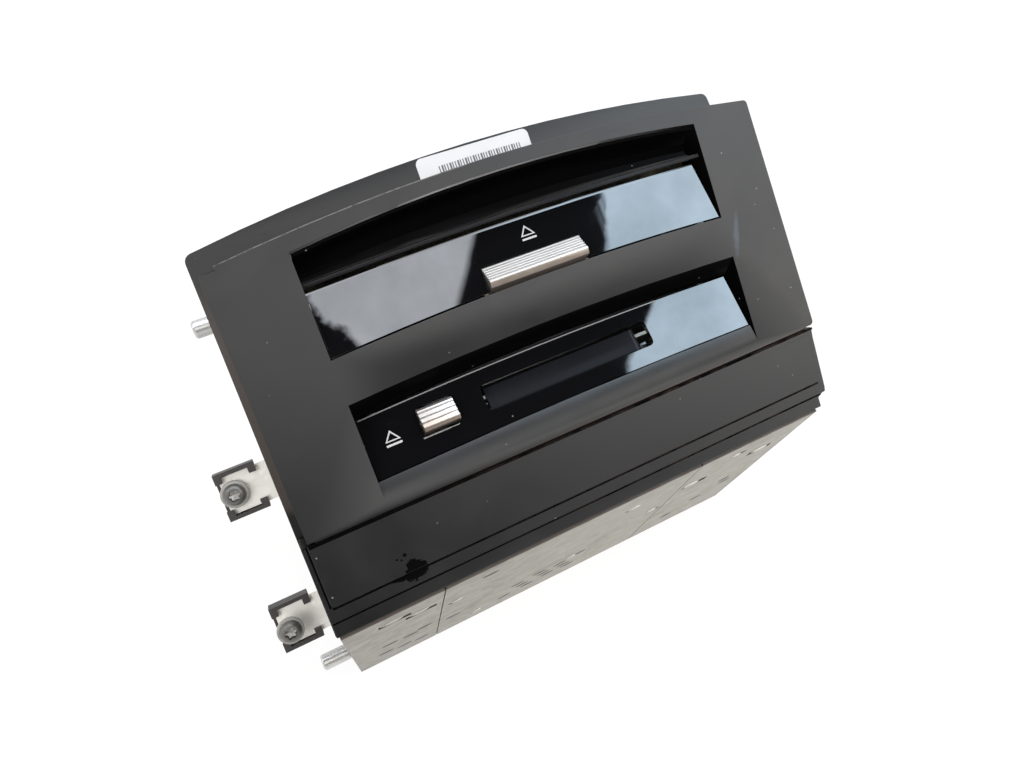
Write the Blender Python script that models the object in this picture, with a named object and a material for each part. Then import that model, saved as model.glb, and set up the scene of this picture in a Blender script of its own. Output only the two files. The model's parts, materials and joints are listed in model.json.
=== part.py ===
"""In-dash disc changer with a card slot, as an assembly of separate pieces.

The unit is drawn in its own frame: X to the right, Y into the dash, Z up, with the zero line along
the bottom edge of the front face. The front face leans forward, and has a frame of its own:
X to the right, Y into the face, Z up along it. The whole unit then lies on its rear panel, with the
middle of that panel at the origin.
"""
import math

import bmesh
import bpy
from mathutils import Matrix, Vector

MM = 0.001
RIGHT_ANGLE = math.pi / 2

# Fits and shared walls
FIT = 0.3 * MM
RUNNING_FIT = 0.25 * MM
OVERRUN = 2.0 * MM
OVERLAP = 0.5 * MM
SHEET = 1.0 * MM
SEAM = 0.4 * MM
BEZEL_EDGE = 0.35 * MM
COVER_EDGE = 0.25 * MM
PANEL_EDGE = 0.2 * MM
BUTTON_EDGE = 0.12 * MM

# Openings in the face
OPENING_HALF = 69.0 * MM
TUNNEL_WALL = 1.6 * MM
LOWER_LOW = 32.3 * MM
LOWER_LOW_RISE = 1.0 * MM
LOWER_HIGH = 62.5 * MM
LOWER_HIGH_RISE = 2.2 * MM
LOWER_TUNNEL = 10.0 * MM
OPENING_GAP = 13.7 * MM
UPPER_LOW = LOWER_HIGH + OPENING_GAP
UPPER_LOW_RISE = 2.4 * MM
UPPER_TALL = 32.2 * MM
UPPER_HIGH = UPPER_LOW + UPPER_TALL
UPPER_HIGH_RISE = 4.7 * MM
UPPER_TUNNEL = 13.0 * MM
CHAMFER_HIGH = 5.5 * MM
CHAMFER_DEPTH = 2.0 * MM

# Front face
FACE_TILT = math.radians(30)
PLATE_SIDE = 24.8 * MM
PLATE_HALF = OPENING_HALF + PLATE_SIDE
PLATE_CROWN = 9.0 * MM
PLATE_TOP = UPPER_HIGH + PLATE_CROWN
PLATE_RISE = 7.0 * MM
PLATE_DEPTH = 16.0 * MM
PLATE_WALL = 2.5 * MM
PLATE_DRAW_LOW = 0.7 * MM
PLATE_DRAW_HIGH = 2.2 * MM
PLATE_CORNER = 1.4 * MM
GROOVE_Z = 29.2 * MM
GROOVE_WIDTH = 0.8 * MM
GROOVE_SINK = 1.2 * MM
NOTCH_WIDTH = 4.7 * MM
NOTCH_DROP = 0.9 * MM

# Flange behind the face
FLANGE_THICK = 2.5 * MM
FLANGE_OUT = 2.1 * MM
FLANGE_FOOT_OUT = 2.9 * MM
FLANGE_IN = 5.2 * MM
FLANGE_UP = 8.5 * MM
FLANGE_LEFT_TOP = -PLATE_HALF - FLANGE_OUT
FLANGE_LEFT_LOW = -PLATE_HALF - FLANGE_FOOT_OUT
FLANGE_RIGHT = PLATE_HALF - FLANGE_IN
FLANGE_TOP = PLATE_TOP + FLANGE_UP
FLANGE_RISE = 8.2 * MM
FLANGE_LOW = -5.0 * MM
FLANGE_CORNER = 2.6 * MM
FLANGE_TURN = 81
FLANGE_LEG = 5.0 * MM

# Flap, its bar and its rod
PANEL_LEAN = math.radians(18)
FLAP_SINK = 0.5 * MM
FLAP_GAP = 0.6 * MM
FLAP_FOOT = (FLAP_SINK, UPPER_LOW + FLAP_GAP)
FLAP_HIGH = 21.2 * MM
FLAP_THICK = 2.4 * MM
FLAP_TOP_RISE = 1.5 * MM
FLAP_EDGE_RADIUS = 1.1 * MM
PIVOT_DROP = 3.2 * MM
PIVOT_BACK = 4.5 * MM
ROD_RADIUS = 1.2 * MM
LUG_RADIUS = 2.7 * MM
LUG_IN = 13.0 * MM
LUG_X = OPENING_HALF - LUG_IN
LUG_WIDE = 4.0 * MM
BAR_X = 0.7 * MM
BAR_WIDE = 34.6 * MM
BAR_LOW = 2.7 * MM
BAR_HIGH = 7.5 * MM
BAR_RIDGE = 1.5 * MM
BAR_PROUD = 3.2 * MM
BAR_TOP_PROUD = 1.0 * MM
BAR_FOOT_PROUD = 2.2 * MM
BAR_RIBS = 5
BAR_RIB_DEPTH = 0.35 * MM
BAR_LIP = 1.4 * MM

# Recess trim above the flap and its rail
RAIL_GAP = 0.84 * MM
RAIL_LOW = FLAP_FOOT[1] + FLAP_HIGH * math.cos(PANEL_LEAN) + RAIL_GAP
RAIL_HIGH = 1.1 * MM
RAIL_FRONT = 2.0 * MM
RAIL_DEEP = 2.6 * MM
TRIM_LIFT = 0.7 * MM
TRIM_HIGH_GAP = 0.4 * MM
TRIM_DEEP = 10.8 * MM
TRIM_SHARES = ((0.11, 0.895, 1.0), (0.51, 0.79, 0.94), (0.78, 0.57, 0.72), (0.87, 0.337, 0.47),
               (0.80, 0.168, 0.22), (0.61, 0.09, 0.03), (0.463, 0.084, 0.0), (0.463, 0.0, 0.0),
               (0.63, 0.0, 0.03), (0.907, 0.074, 0.22), (1.0, 0.347, 0.47), (0.889, 0.705, 0.72),
               (0.556, 0.937, 0.97), (0.11, 1.0, 1.0))

# Card panel, door, button and cage
PANEL_GAP = 0.4 * MM
CARD_FOOT = (CHAMFER_DEPTH, LOWER_LOW + CHAMFER_HIGH + PANEL_GAP)
CARD_HIGH = 19.0 * MM
CARD_THICK = 2.0 * MM
CARD_TOP_RISE = 1.5 * MM
SLOT_X = 1.75 * MM
SLOT_WIDE = 61.7 * MM
SLOT_LOW = 6.3 * MM
SLOT_HIGH = 8.8 * MM
SLOT_CORNER = 1.6 * MM
DOOR_WIDE = 56.0 * MM
DOOR_X = 0.6 * MM
DOOR_HIGH = 8.0 * MM
DOOR_THICK = 1.2 * MM
DOOR_PIN_RADIUS = 0.8 * MM
BUTTON_X = -44.5 * MM
BUTTON_Z = 45.1 * MM
BUTTON_WIDE = 11.8 * MM
BUTTON_HIGH = 7.8 * MM
BUTTON_FRONT = -22.4 * MM
BUTTON_BACK = -11.0 * MM
BUTTON_RIBS = 3
CARD_WIDE = 54.6 * MM
CARD_SPACE = 5.8 * MM
CAGE_Z = 45.2 * MM
CAGE_FRONT = -5.0 * MM
CAGE_BACK = 76.0 * MM
CARD_ROD_HALF = 1.3 * MM
COLLAR_HALF = 3.2 * MM
CARD_SPRING_WIRE = 0.35 * MM
CARD_SPRING_RUN = 10.0 * MM
LEVER_X = -31.0 * MM
LEVER_Y = 66.0 * MM
LEVER_HALF = 2.6 * MM
LEVER_ARM = LEVER_X - BUTTON_X
LEVER_TIP = 8.0 * MM
LEVER_THICK = 1.2 * MM

# Chassis
CHASSIS_OUT = 1.5 * MM
CHASSIS_IN = 8.1 * MM
CHASSIS_LEFT = -PLATE_HALF - CHASSIS_OUT
CHASSIS_RIGHT = PLATE_HALF - CHASSIS_IN
CHASSIS_BACK = 104.0 * MM
CHASSIS_HIGH = 102.5 * MM
CHASSIS_FRONT_DEPTH = 19.0 * MM
FLOOR_FRONT = 2.3 * MM
SEAM_LEFT = -61.6 * MM
SEAM_RIGHT = 35.0 * MM
FLOOR_SLOT_LONG = 5.4 * MM
FLOOR_SLOT_WIDE = 1.3 * MM
BRIDGE_LONG = 11.0 * MM
BRIDGE_WIDE = 3.4 * MM
LEFT_SLOT_SHARES = ((0.409, 0.596), (0.647, 0.615), (0.818, 0.577), (0.350, 0.769), (0.573, 0.808),
                    (0.795, 0.846))
LEFT_BRIDGE_SHARES = ((0.496, 0.144), (0.766, 0.208))
RIGHT_SLOT_SHARES = ((0.424, 0.135), (0.750, 0.635), (0.513, 0.712), (0.276, 0.808), (0.700, 0.577))
RIGHT_BRIDGE_SHARES = ((0.715, 0.245), (0.158, 0.298))
MIDDLE_SLOT_SHARES = ((0.056, 0.337), (0.060, 0.669), (0.181, 0.856), (0.312, 0.832), (0.643, 0.644),
                      (0.356, 0.673), (0.387, 0.740), (0.418, 0.808), (0.454, 0.654), (0.485, 0.721),
                      (0.516, 0.788), (0.557, 0.683), (0.589, 0.750), (0.620, 0.817), (0.946, 0.462),
                      (0.767, 0.212), (0.172, 0.135))
DECK_Z = 49.4 * MM
DECK_THICK = 1.2 * MM
DECK_FRONT = -6.6 * MM
BOARD_Z = 6.0 * MM
BOARD_THICK = 1.6 * MM
BOARD_INSET = 6.0 * MM
BOARD_FRONT = 26.0 * MM
BOARD_BACK_GAP = 4.0 * MM
BOARD_PART_HIGH = 9.0 * MM
BOARD_PART_SHARES = ((0.50, 0.34, 0.18, 0.30, 0.29), (0.76, 0.34, 0.11, 0.19, 0.22),
                     (0.14, 0.27, 0.07, 0.16, 1.0), (0.24, 0.51, 0.05, 0.11, 0.78),
                     (0.92, 0.57, 0.05, 0.22, 0.89), (0.55, 0.14, 0.09, 0.05, 0.44))
MAIN_SOCKET_X = 30.0 * MM
MAIN_SOCKET_WIDE = 52.0 * MM
MAIN_SOCKET_HIGH = 26.0 * MM
SMALL_SOCKET_X = -48.0 * MM
SMALL_SOCKET_WIDE = 28.0 * MM
SMALL_SOCKET_HIGH = 18.0 * MM
SOCKET_DEEP = 16.0 * MM
SOCKETS = {
    "rear_socket_main": (MAIN_SOCKET_X, MAIN_SOCKET_WIDE / 2, MAIN_SOCKET_HIGH),
    "rear_socket_small": (SMALL_SOCKET_X, SMALL_SOCKET_WIDE / 2, SMALL_SOCKET_HIGH),
}

# Brackets, clips, screws and guide pins
BRACKET_DEPTH = 25.0 * MM
BRACKET_THICK = 1.5 * MM
BRACKET_STRIP = 15.0 * MM
TAB_LONG = 15.5 * MM
TAB_HALF = 6.1 * MM
TAB_UPPER = 47.3 * MM
TAB_LOWER = 1.9 * MM
TAB_MIDDLES = {"upper": TAB_UPPER, "lower": TAB_LOWER}
SCREW_REACH = 13.0 * MM
SCREW_LOOSE = 4.3 * MM
SCREW_LIFTS = {"upper": 0.0, "lower": SCREW_LOOSE}
SCREW_RADIUS = 2.2 * MM
SCREW_FLANGE = 4.2 * MM
SCREW_DOME = 3.35 * MM
SCREW_DOME_HIGH = 2.5 * MM
SCREW_LONG = 12.0 * MM
PIN_RADIUS = 2.8 * MM
PIN_UPPER_Y = -27.4 * MM
PIN_UPPER_Z = 97.0 * MM
PIN_UPPER_LONG = 5.7 * MM
PIN_LOWER_Y = 52.0 * MM
PIN_LOWER_Z = 3.1 * MM
PIN_LOWER_LONG = 9.6 * MM

# Disc path and stocker
DISC_X = 0.0
DISC_Y = 41.5 * MM
SLOT_Z = 73.1 * MM
TRAY_THICK = 1.2 * MM
TRAY_IN = 5.0 * MM
TRAY_HALF = OPENING_HALF - TRAY_IN
TRAY_FRONT = -18.5 * MM
TRAY_BACK = 101.0 * MM
TRAY_STEP = 3.0 * MM
LOWER_STACK = 56.5 * MM
OPEN_TRAY = 82.0 * MM
UPPER_STACK = 89.5 * MM
CLOSED_STACK = 62.3 * MM
TRAY_LEVELS = (LOWER_STACK, LOWER_STACK + TRAY_STEP, LOWER_STACK + TRAY_STEP * 2, OPEN_TRAY, UPPER_STACK,
               UPPER_STACK + TRAY_STEP)
TRAY_LIFTS = [CLOSED_STACK + TRAY_STEP * i - level for i, level in enumerate(TRAY_LEVELS)]
TRAY_PIN_FIRST = 10.0 * MM
TRAY_PIN_STEP = 32.0 * MM
TRAY_PIN_RADIUS = 1.0 * MM
POST_RADIUS = 1.5 * MM
POST_TOP = 98.0 * MM
POST_IN = 7.0 * MM
POST_X = OPENING_HALF - POST_IN
POST_FRONT = -15.0 * MM
POST_REAR = 97.0 * MM
POSTS = {"front_left": (-POST_X, POST_FRONT), "front_right": (POST_X, POST_FRONT),
         "rear_right": (POST_X, POST_REAR)}
CAM_OUT = 4.0 * MM
CAM_X = OPENING_HALF + CAM_OUT
CAM_THICK = 1.5 * MM
CAM_TRAVEL = 20.0 * MM
CAM_LOW = 53.0 * MM
CAM_TOP = 97.5 * MM
CAM_FRONT = -14.0 * MM
CAM_BACK = 80.0 * MM
RACK_LINE = 61.0 * MM
RACK_BACK = 66.0 * MM
RACK_THICK = 3.0 * MM
PINION_Y = 46.0 * MM

# Loading roller
DISC_HALF = 0.6 * MM
DISC_SEAT = 60.4 * MM
ROLLER_Y = -25.0 * MM
ROLLER_RADIUS = 4.0 * MM
ROLLER_SHAFT = 1.5 * MM
ROLLER_IN = 7.0 * MM
ROLLER_HALF = OPENING_HALF - ROLLER_IN
GEAR_OUT = 1.9 * MM
GEAR_X = OPENING_HALF + GEAR_OUT
GEAR_WIDE = 1.8 * MM
LOADING_ANGLE = math.radians(-60)

# Gears
MODULE = 0.75 * MM
PINION_TEETH = 12
ROLLER_TEETH = 14

# Swing base with the drive
SWING_OUT = 10.0 * MM
SWING_X = -OPENING_HALF - SWING_OUT
SWING_Y = 90.5 * MM
SWING_REACH = math.hypot(SWING_X, SWING_Y - DISC_Y)
ARM_HALF = 12.0 * MM
ARM_Z = 70.0 * MM
ARM_THICK = 1.4 * MM
JAW_Z = 85.6 * MM
JAW_THICK = 1.4 * MM
TURNTABLE_RADIUS = 11.0 * MM
TURNTABLE_HIGH = 3.0 * MM
MOTOR_RADIUS = 10.0 * MM
MOTOR_HIGH = 3.4 * MM
SLED_INNER = 22.0 * MM
SLED_TRAVEL = 30.0 * MM
SCREW_LEAD = 6.0 * MM
SPINDLE_WAY = 7.0 * MM
SLED_HALF = 6.0 * MM
SLED_WIDE = 6.9 * MM
SLED_WINDOW = 7.5 * MM
ROD_OFFSET = 9.4 * MM
ROD_DROP = 1.6 * MM
ROD_Z = ARM_Z - ROD_DROP
SLED_ROD_RADIUS = 0.8 * MM
HUB_RADIUS = 6.0 * MM
SWING_POST = 3.2 * MM

MATERIALS = {
    "bezel_plastic": ((0.055, 0.056, 0.058), 0.55, 0.0),
    "gloss_black": ((0.006, 0.006, 0.008), 0.08, 0.0),
    "rail_grey": ((0.09, 0.09, 0.095), 0.4, 0.0),
    "silver_paint": ((0.62, 0.58, 0.54), 0.35, 0.6),
    "galvanised": ((0.50, 0.47, 0.43), 0.42, 0.85),
    "bright_steel": ((0.62, 0.62, 0.60), 0.25, 1.0),
    "screw_steel": ((0.30, 0.29, 0.27), 0.35, 0.9),
    "clip_black": ((0.03, 0.028, 0.028), 0.6, 0.0),
    "board_green": ((0.02, 0.12, 0.05), 0.5, 0.0),
    "socket_black": ((0.02, 0.02, 0.02), 0.5, 0.0),
    "tray_grey": ((0.16, 0.16, 0.17), 0.45, 0.0),
    "gear_white": ((0.75, 0.73, 0.68), 0.5, 0.0),
    "rubber": ((0.02, 0.02, 0.02), 0.9, 0.0),
}


def material(name):
    """Principled material of that name, made once."""
    found = bpy.data.materials.get(name)
    if found:
        return found
    colour, roughness, metallic = MATERIALS[name]
    made = bpy.data.materials.new(name)
    made.use_nodes = True
    shader = made.node_tree.nodes["Principled BSDF"]
    shader.inputs["Base Color"].default_value = (*colour, 1.0)
    shader.inputs["Roughness"].default_value = roughness
    shader.inputs["Metallic"].default_value = metallic
    return made


def clear_scene():
    for item in list(bpy.data.objects):
        bpy.data.objects.remove(item, do_unlink=True)


def empty(name, parent=None, location=(0, 0, 0), turn_x=0.0):
    made = bpy.data.objects.new(name, None)
    bpy.context.scene.collection.objects.link(made)
    made.parent = parent
    made.location = location
    made.rotation_euler = (turn_x, 0, 0)
    return made


def finish_mesh(name, bm):
    bmesh.ops.recalc_face_normals(bm, faces=bm.faces)
    mesh = bpy.data.meshes.new(name)
    bm.to_mesh(mesh)
    bm.free()
    made = bpy.data.objects.new(name, mesh)
    bpy.context.scene.collection.objects.link(made)
    return made


def loft(name, rings):
    """Closed body through rings of the same number of points, capped at both ends."""
    bm = bmesh.new()
    verts = [[bm.verts.new(point) for point in ring] for ring in rings]
    for low, high in zip(verts, verts[1:]):
        for i, corner in enumerate(low):
            j = (i + 1) % len(low)
            bm.faces.new((corner, low[j], high[j], high[i]))
    bm.faces.new(list(reversed(verts[0])))
    bm.faces.new(verts[-1])
    return finish_mesh(name, bm)


def prism(name, outline, low, high, axis):
    """Outline in the two other axes, in x, y, z order, drawn out along the axis."""
    spot = {"x": lambda p, h: (h, p[0], p[1]), "y": lambda p, h: (p[0], h, p[1]),
            "z": lambda p, h: (p[0], p[1], h)}[axis]
    return loft(name, [[spot(p, low) for p in outline], [spot(p, high) for p in outline]])


def box(name, low, high):
    outline = [(low[0], low[1]), (high[0], low[1]), (high[0], high[1]), (low[0], high[1])]
    return prism(name, outline, low[2], high[2], "z")


def ring_points(centre, along, radius, sides, turn=0.0):
    """Points of a circle about a centre, square to a direction."""
    frame = Vector(along).to_track_quat("Z", "Y").to_matrix()
    angles = [turn + 2 * math.pi * i / sides for i in range(sides)]
    return [Vector(centre) + frame @ Vector((radius * math.cos(a), radius * math.sin(a), 0)) for a in angles]


def rod(name, start, end, radius, sides=24):
    along = Vector(end) - Vector(start)
    return loft(name, [ring_points(spot, along, radius, sides) for spot in (start, end)])


def turned(name, start, along, profile, sides=24):
    """Body turned about a line: profile holds (distance along the line, radius) pairs."""
    line = Vector(along).normalized()
    return loft(name, [ring_points(Vector(start) + line * run, line, r, sides) for run, r in profile])


def arc(centre, radius, first, last, steps):
    """Points on an arc in a plane, angles in degrees."""
    angles = [math.radians(first + (last - first) * i / steps) for i in range(steps + 1)]
    return [(centre[0] + radius * math.cos(a), centre[1] + radius * math.sin(a)) for a in angles]


def rounded(low, high, radius, steps=4):
    """Rectangle outline with round corners."""
    centres = [(high[0] - radius, low[1] + radius, -90), (high[0] - radius, high[1] - radius, 0),
               (low[0] + radius, high[1] - radius, 90), (low[0] + radius, low[1] + radius, 180)]
    return [p for x, y, a in centres for p in arc((x, y), radius, a, a + 90, steps)]


def combine(target, tool, operation):
    """Applies one exact Boolean and removes its tool."""
    modifier = target.modifiers.new(operation, "BOOLEAN")
    modifier.operation = operation
    modifier.solver = "EXACT"
    modifier.object = tool
    graph = bpy.context.evaluated_depsgraph_get()
    mesh = bpy.data.meshes.new_from_object(target.evaluated_get(graph))
    target.modifiers.clear()
    target.data = mesh
    bpy.data.objects.remove(tool, do_unlink=True)
    return target


def fuse(target, *tools):
    for tool in tools:
        combine(target, tool, "UNION")
    return target


def cut(target, *tools):
    for tool in tools:
        combine(target, tool, "DIFFERENCE")
    return target


def settle(item, material_name, parent, origin=(0, 0, 0), soft_edge=0.0, segments=2, smooth=30):
    """Gives a piece its origin, parent, material and soft edges."""
    item.data.transform(Matrix.Translation(-Vector(origin)))
    item.location = origin
    item.parent = parent
    item.data.materials.clear()
    item.data.materials.append(material(material_name))
    bm = bmesh.new()
    bm.from_mesh(item.data)
    bmesh.ops.remove_doubles(bm, verts=bm.verts, dist=FIT / 300)
    bmesh.ops.dissolve_limit(bm, angle_limit=math.radians(0.05), verts=bm.verts, edges=bm.edges)
    bm.to_mesh(item.data)
    bm.free()
    if soft_edge:
        bevel = item.modifiers.new("soft_edge", "BEVEL")
        bevel.width = soft_edge
        bevel.segments = segments
        bevel.limit_method = "ANGLE"
        bevel.angle_limit = math.radians(35)
    item.data.shade_smooth()
    item.data.set_sharp_from_angle(angle=math.radians(smooth))
    return item


def arch(x, half, rise):
    """Height that a shallow arch adds at x."""
    return rise * (1 - (x / half) ** 2)


def stations(half, count=12):
    return [half * (2 * i / count - 1) for i in range(count + 1)]


def arched_outline(half, low, low_rise, high, high_rise):
    """Outline with an arched bottom and an arched top, from left to right and back."""
    bottom = [(x, low + arch(x, half, low_rise)) for x in stations(half)]
    top = [(x, high + arch(x, half, high_rise)) for x in reversed(stations(half))]
    return bottom + top


def leaned(foot, up, out):
    """Point (depth, height) on a panel that leans back, from its foot."""
    depth = foot[0] + up * math.sin(PANEL_LEAN) - out * math.cos(PANEL_LEAN)
    return depth, foot[1] + up * math.cos(PANEL_LEAN) + out * math.sin(PANEL_LEAN)


def flap_pivot():
    return leaned(FLAP_FOOT, FLAP_HIGH - PIVOT_DROP, -PIVOT_BACK)


def to_unit(depth, height):
    """Face (depth, height) as unit (y, z)."""
    y = depth * math.cos(FACE_TILT) - height * math.sin(FACE_TILT)
    return y, depth * math.sin(FACE_TILT) + height * math.cos(FACE_TILT)


def slanted(z, depth=CHASSIS_FRONT_DEPTH):
    """Unit y at height z on a plane that lies this deep behind the face."""
    return (depth - z * math.sin(FACE_TILT)) / math.cos(FACE_TILT)


def gear_outline(teeth, centre, turn=0.0, backlash_share=0.12):
    """Outline of a spur gear with straight flanks."""
    pitch = MODULE * teeth / 2
    radii = (pitch - 1.2 * MODULE, pitch - 1.2 * MODULE, pitch + 0.9 * MODULE, pitch + 0.9 * MODULE)
    flank = -0.30 + backlash_share / 4
    outline = []
    for tooth in range(teeth):
        for radius, share in zip(radii, (-0.5, flank, -0.10, 0.10)):
            outline.append((radius, (tooth + share) / teeth))
        outline.append((radii[0], (tooth - flank) / teeth))
    spots = [(r, turn + 2 * math.pi * a) for r, a in outline]
    return [(centre[0] + r * math.cos(a), centre[1] + r * math.sin(a)) for r, a in spots]


def rack_outline(first, count, line, depth_z):
    """Teeth that point down from a pitch line, closed by a straight back above them."""
    pitch = math.pi * MODULE
    root = line + 1.2 * MODULE
    tip = line - 0.9 * MODULE
    outline = []
    for i in range(count):
        start = first + pitch * i
        outline += [(start - 0.28 * pitch, root), (start - 0.10 * pitch, tip),
                    (start + 0.10 * pitch, tip), (start + 0.28 * pitch, root)]
    return outline + [(outline[-1][0], depth_z), (outline[0][0], depth_z)]


def bezel(face):
    """Front plate with its side walls, the two openings and the flange behind it."""
    low = GROOVE_Z + GROOVE_WIDTH / 2
    body = prism("bezel", plate_outline(0, low), 0, PLATE_DEPTH, "y")
    fuse(body, prism("flange", flange_outline(low), PLATE_DEPTH - OVERLAP, PLATE_DEPTH + FLANGE_THICK, "y"))
    cut(body, bezel_pocket(low))
    fuse(body, hinge_cheeks())
    cut(body, prism("upper", arched_outline(OPENING_HALF, UPPER_LOW, UPPER_LOW_RISE, UPPER_HIGH,
                                            UPPER_HIGH_RISE), -OVERRUN, UPPER_TUNNEL + OVERRUN, "y"))
    cut(body, lower_opening(), disc_mouth(), top_notch())
    depth, height = flap_pivot()
    reach = OPENING_HALF + TUNNEL_WALL - FIT
    cut(body, rod("bore", (-reach, depth, height), (reach, depth, height), ROD_RADIUS + RUNNING_FIT))
    return settle(body, "bezel_plastic", face, soft_edge=BEZEL_EDGE, segments=1)


def plate_outline(inset, low):
    """The plate drawn in by the inset: arched top, right side tapered and round at its corners."""
    left = -PLATE_HALF + inset
    corner = PLATE_TOP - PLATE_RISE - inset
    right_low = PLATE_HALF - PLATE_DRAW_LOW - inset
    right_high = PLATE_HALF - PLATE_DRAW_HIGH - inset
    turn_x = right_high - PLATE_CORNER
    turn_z = corner + arch(turn_x, PLATE_HALF, PLATE_RISE) - PLATE_CORNER
    low_turn = arc((right_low - PLATE_CORNER, low + inset + PLATE_CORNER), PLATE_CORNER, -90, 0, 3)
    high_turn = arc((turn_x, turn_z), PLATE_CORNER, 0, FLANGE_TURN, 3)
    half = (turn_x - left) / 2
    middle = (turn_x + left) / 2
    crown = [(middle + x, corner + arch(middle + x, PLATE_HALF, PLATE_RISE))
             for x in reversed(stations(half))]
    return [(left, low + inset)] + low_turn + high_turn + crown[1:]


def flange_outline(low):
    """The flange with its crown, round corners and the leg down its left side."""
    corner = FLANGE_TOP - FLANGE_RISE
    turn = math.radians(FLANGE_TURN)
    inset = FLANGE_CORNER * (1 - math.cos(turn))
    ends = (FLANGE_LEFT_TOP + inset, FLANGE_RIGHT - inset)
    left_z, right_z = [corner + arch(x, FLANGE_LEFT_TOP, FLANGE_RISE) - FLANGE_CORNER * math.sin(turn)
                       for x in ends]
    half = (ends[1] - ends[0]) / 2
    middle = (ends[1] + ends[0]) / 2
    crown = [(middle + x, corner + arch(middle + x, FLANGE_LEFT_TOP, FLANGE_RISE))
             for x in reversed(stations(half))]
    left_corner = arc((FLANGE_LEFT_TOP + FLANGE_CORNER, left_z), FLANGE_CORNER, 180 - FLANGE_TURN, 180, 4)
    right_corner = arc((FLANGE_RIGHT - FLANGE_CORNER, right_z), FLANGE_CORNER, 0, FLANGE_TURN, 4)
    leg = -PLATE_HALF + FLANGE_LEG
    outline = [(FLANGE_LEFT_LOW, FLANGE_LOW), (leg, FLANGE_LOW), (leg, low),
               (PLATE_HALF - PLATE_DRAW_LOW - SHEET, low),
               (PLATE_HALF - PLATE_DRAW_HIGH - SHEET, corner - PLATE_RISE * 2)]
    return outline + right_corner + crown[1:-1] + left_corner


def bezel_pocket(low):
    """Hollow behind the plate, less the walls round both openings."""
    pocket = prism("pocket", plate_outline(PLATE_WALL, low), PLATE_WALL,
                   PLATE_DEPTH + FLANGE_THICK + OVERRUN, "y")
    half = OPENING_HALF + TUNNEL_WALL
    upper = arched_outline(half, UPPER_LOW - TUNNEL_WALL, UPPER_LOW_RISE, UPPER_HIGH + TUNNEL_WALL,
                           UPPER_HIGH_RISE)
    lower = arched_outline(half, LOWER_LOW - TUNNEL_WALL - OVERRUN, LOWER_LOW_RISE, LOWER_HIGH + TUNNEL_WALL,
                           LOWER_HIGH_RISE)
    return cut(pocket, prism("upper_walls", upper, 0, UPPER_TUNNEL, "y"),
               prism("lower_walls", lower, 0, LOWER_TUNNEL, "y"))


def hinge_cheeks():
    """Small pads outside the upper walls, so that the rod bores stay blind."""
    depth, height = flap_pivot()
    pad = 3.0 * MM
    wide = OPENING_HALF + TUNNEL_WALL
    low = (depth - pad, height - pad)
    high = (depth + pad, height + pad)
    cheek = box("cheek", (wide - OVERLAP, *low), (wide + SHEET, *high))
    other = box("cheek", (-wide - SHEET, *low), (-wide + OVERLAP, *high))
    bridge = box("bridge", (-wide, depth - SHEET, height - SHEET), (wide, depth + SHEET, height + SHEET))
    return fuse(bridge, cheek, other)


def lower_opening():
    """Opening for the card panel: a chamfer along its bottom and a sloped wall above."""
    top_drop = LOWER_HIGH - (CARD_FOOT[1] + CARD_HIGH * math.cos(PANEL_LEAN)) - FIT
    back = CARD_HIGH * math.sin(PANEL_LEAN) + CARD_FOOT[0]
    slope = top_drop / back
    rings = []
    for depth, lift, drop in ((-OVERRUN, 0, -OVERRUN * slope), (0, 0, 0),
                              (CHAMFER_DEPTH, CHAMFER_HIGH, CHAMFER_DEPTH * slope),
                              (back, CHAMFER_HIGH, top_drop),
                              (LOWER_TUNNEL + OVERRUN, CHAMFER_HIGH, top_drop)):
        outline = arched_outline(OPENING_HALF, LOWER_LOW + lift, LOWER_LOW_RISE, LOWER_HIGH - drop,
                                 LOWER_HIGH_RISE)
        rings.append([(x, depth, z) for x, z in outline])
    return loft("lower", rings)


def disc_mouth():
    """Takes the sill of the upper opening away behind the plate, where discs pass level."""
    wide = OPENING_HALF - SHEET
    sill = 6.0 * MM
    return box("mouth", (-wide, PLATE_WALL + OVERLAP, UPPER_LOW - sill),
               (wide, UPPER_TUNNEL + OVERRUN, UPPER_LOW + sill))


def top_notch():
    """Lowers the plate's top left corner a little."""
    corner = PLATE_TOP - PLATE_RISE
    return box("notch", (-PLATE_HALF - OVERRUN, -OVERRUN, corner - NOTCH_DROP),
               (-PLATE_HALF + NOTCH_WIDTH, PLATE_DEPTH / 2, corner + OVERRUN))


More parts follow.
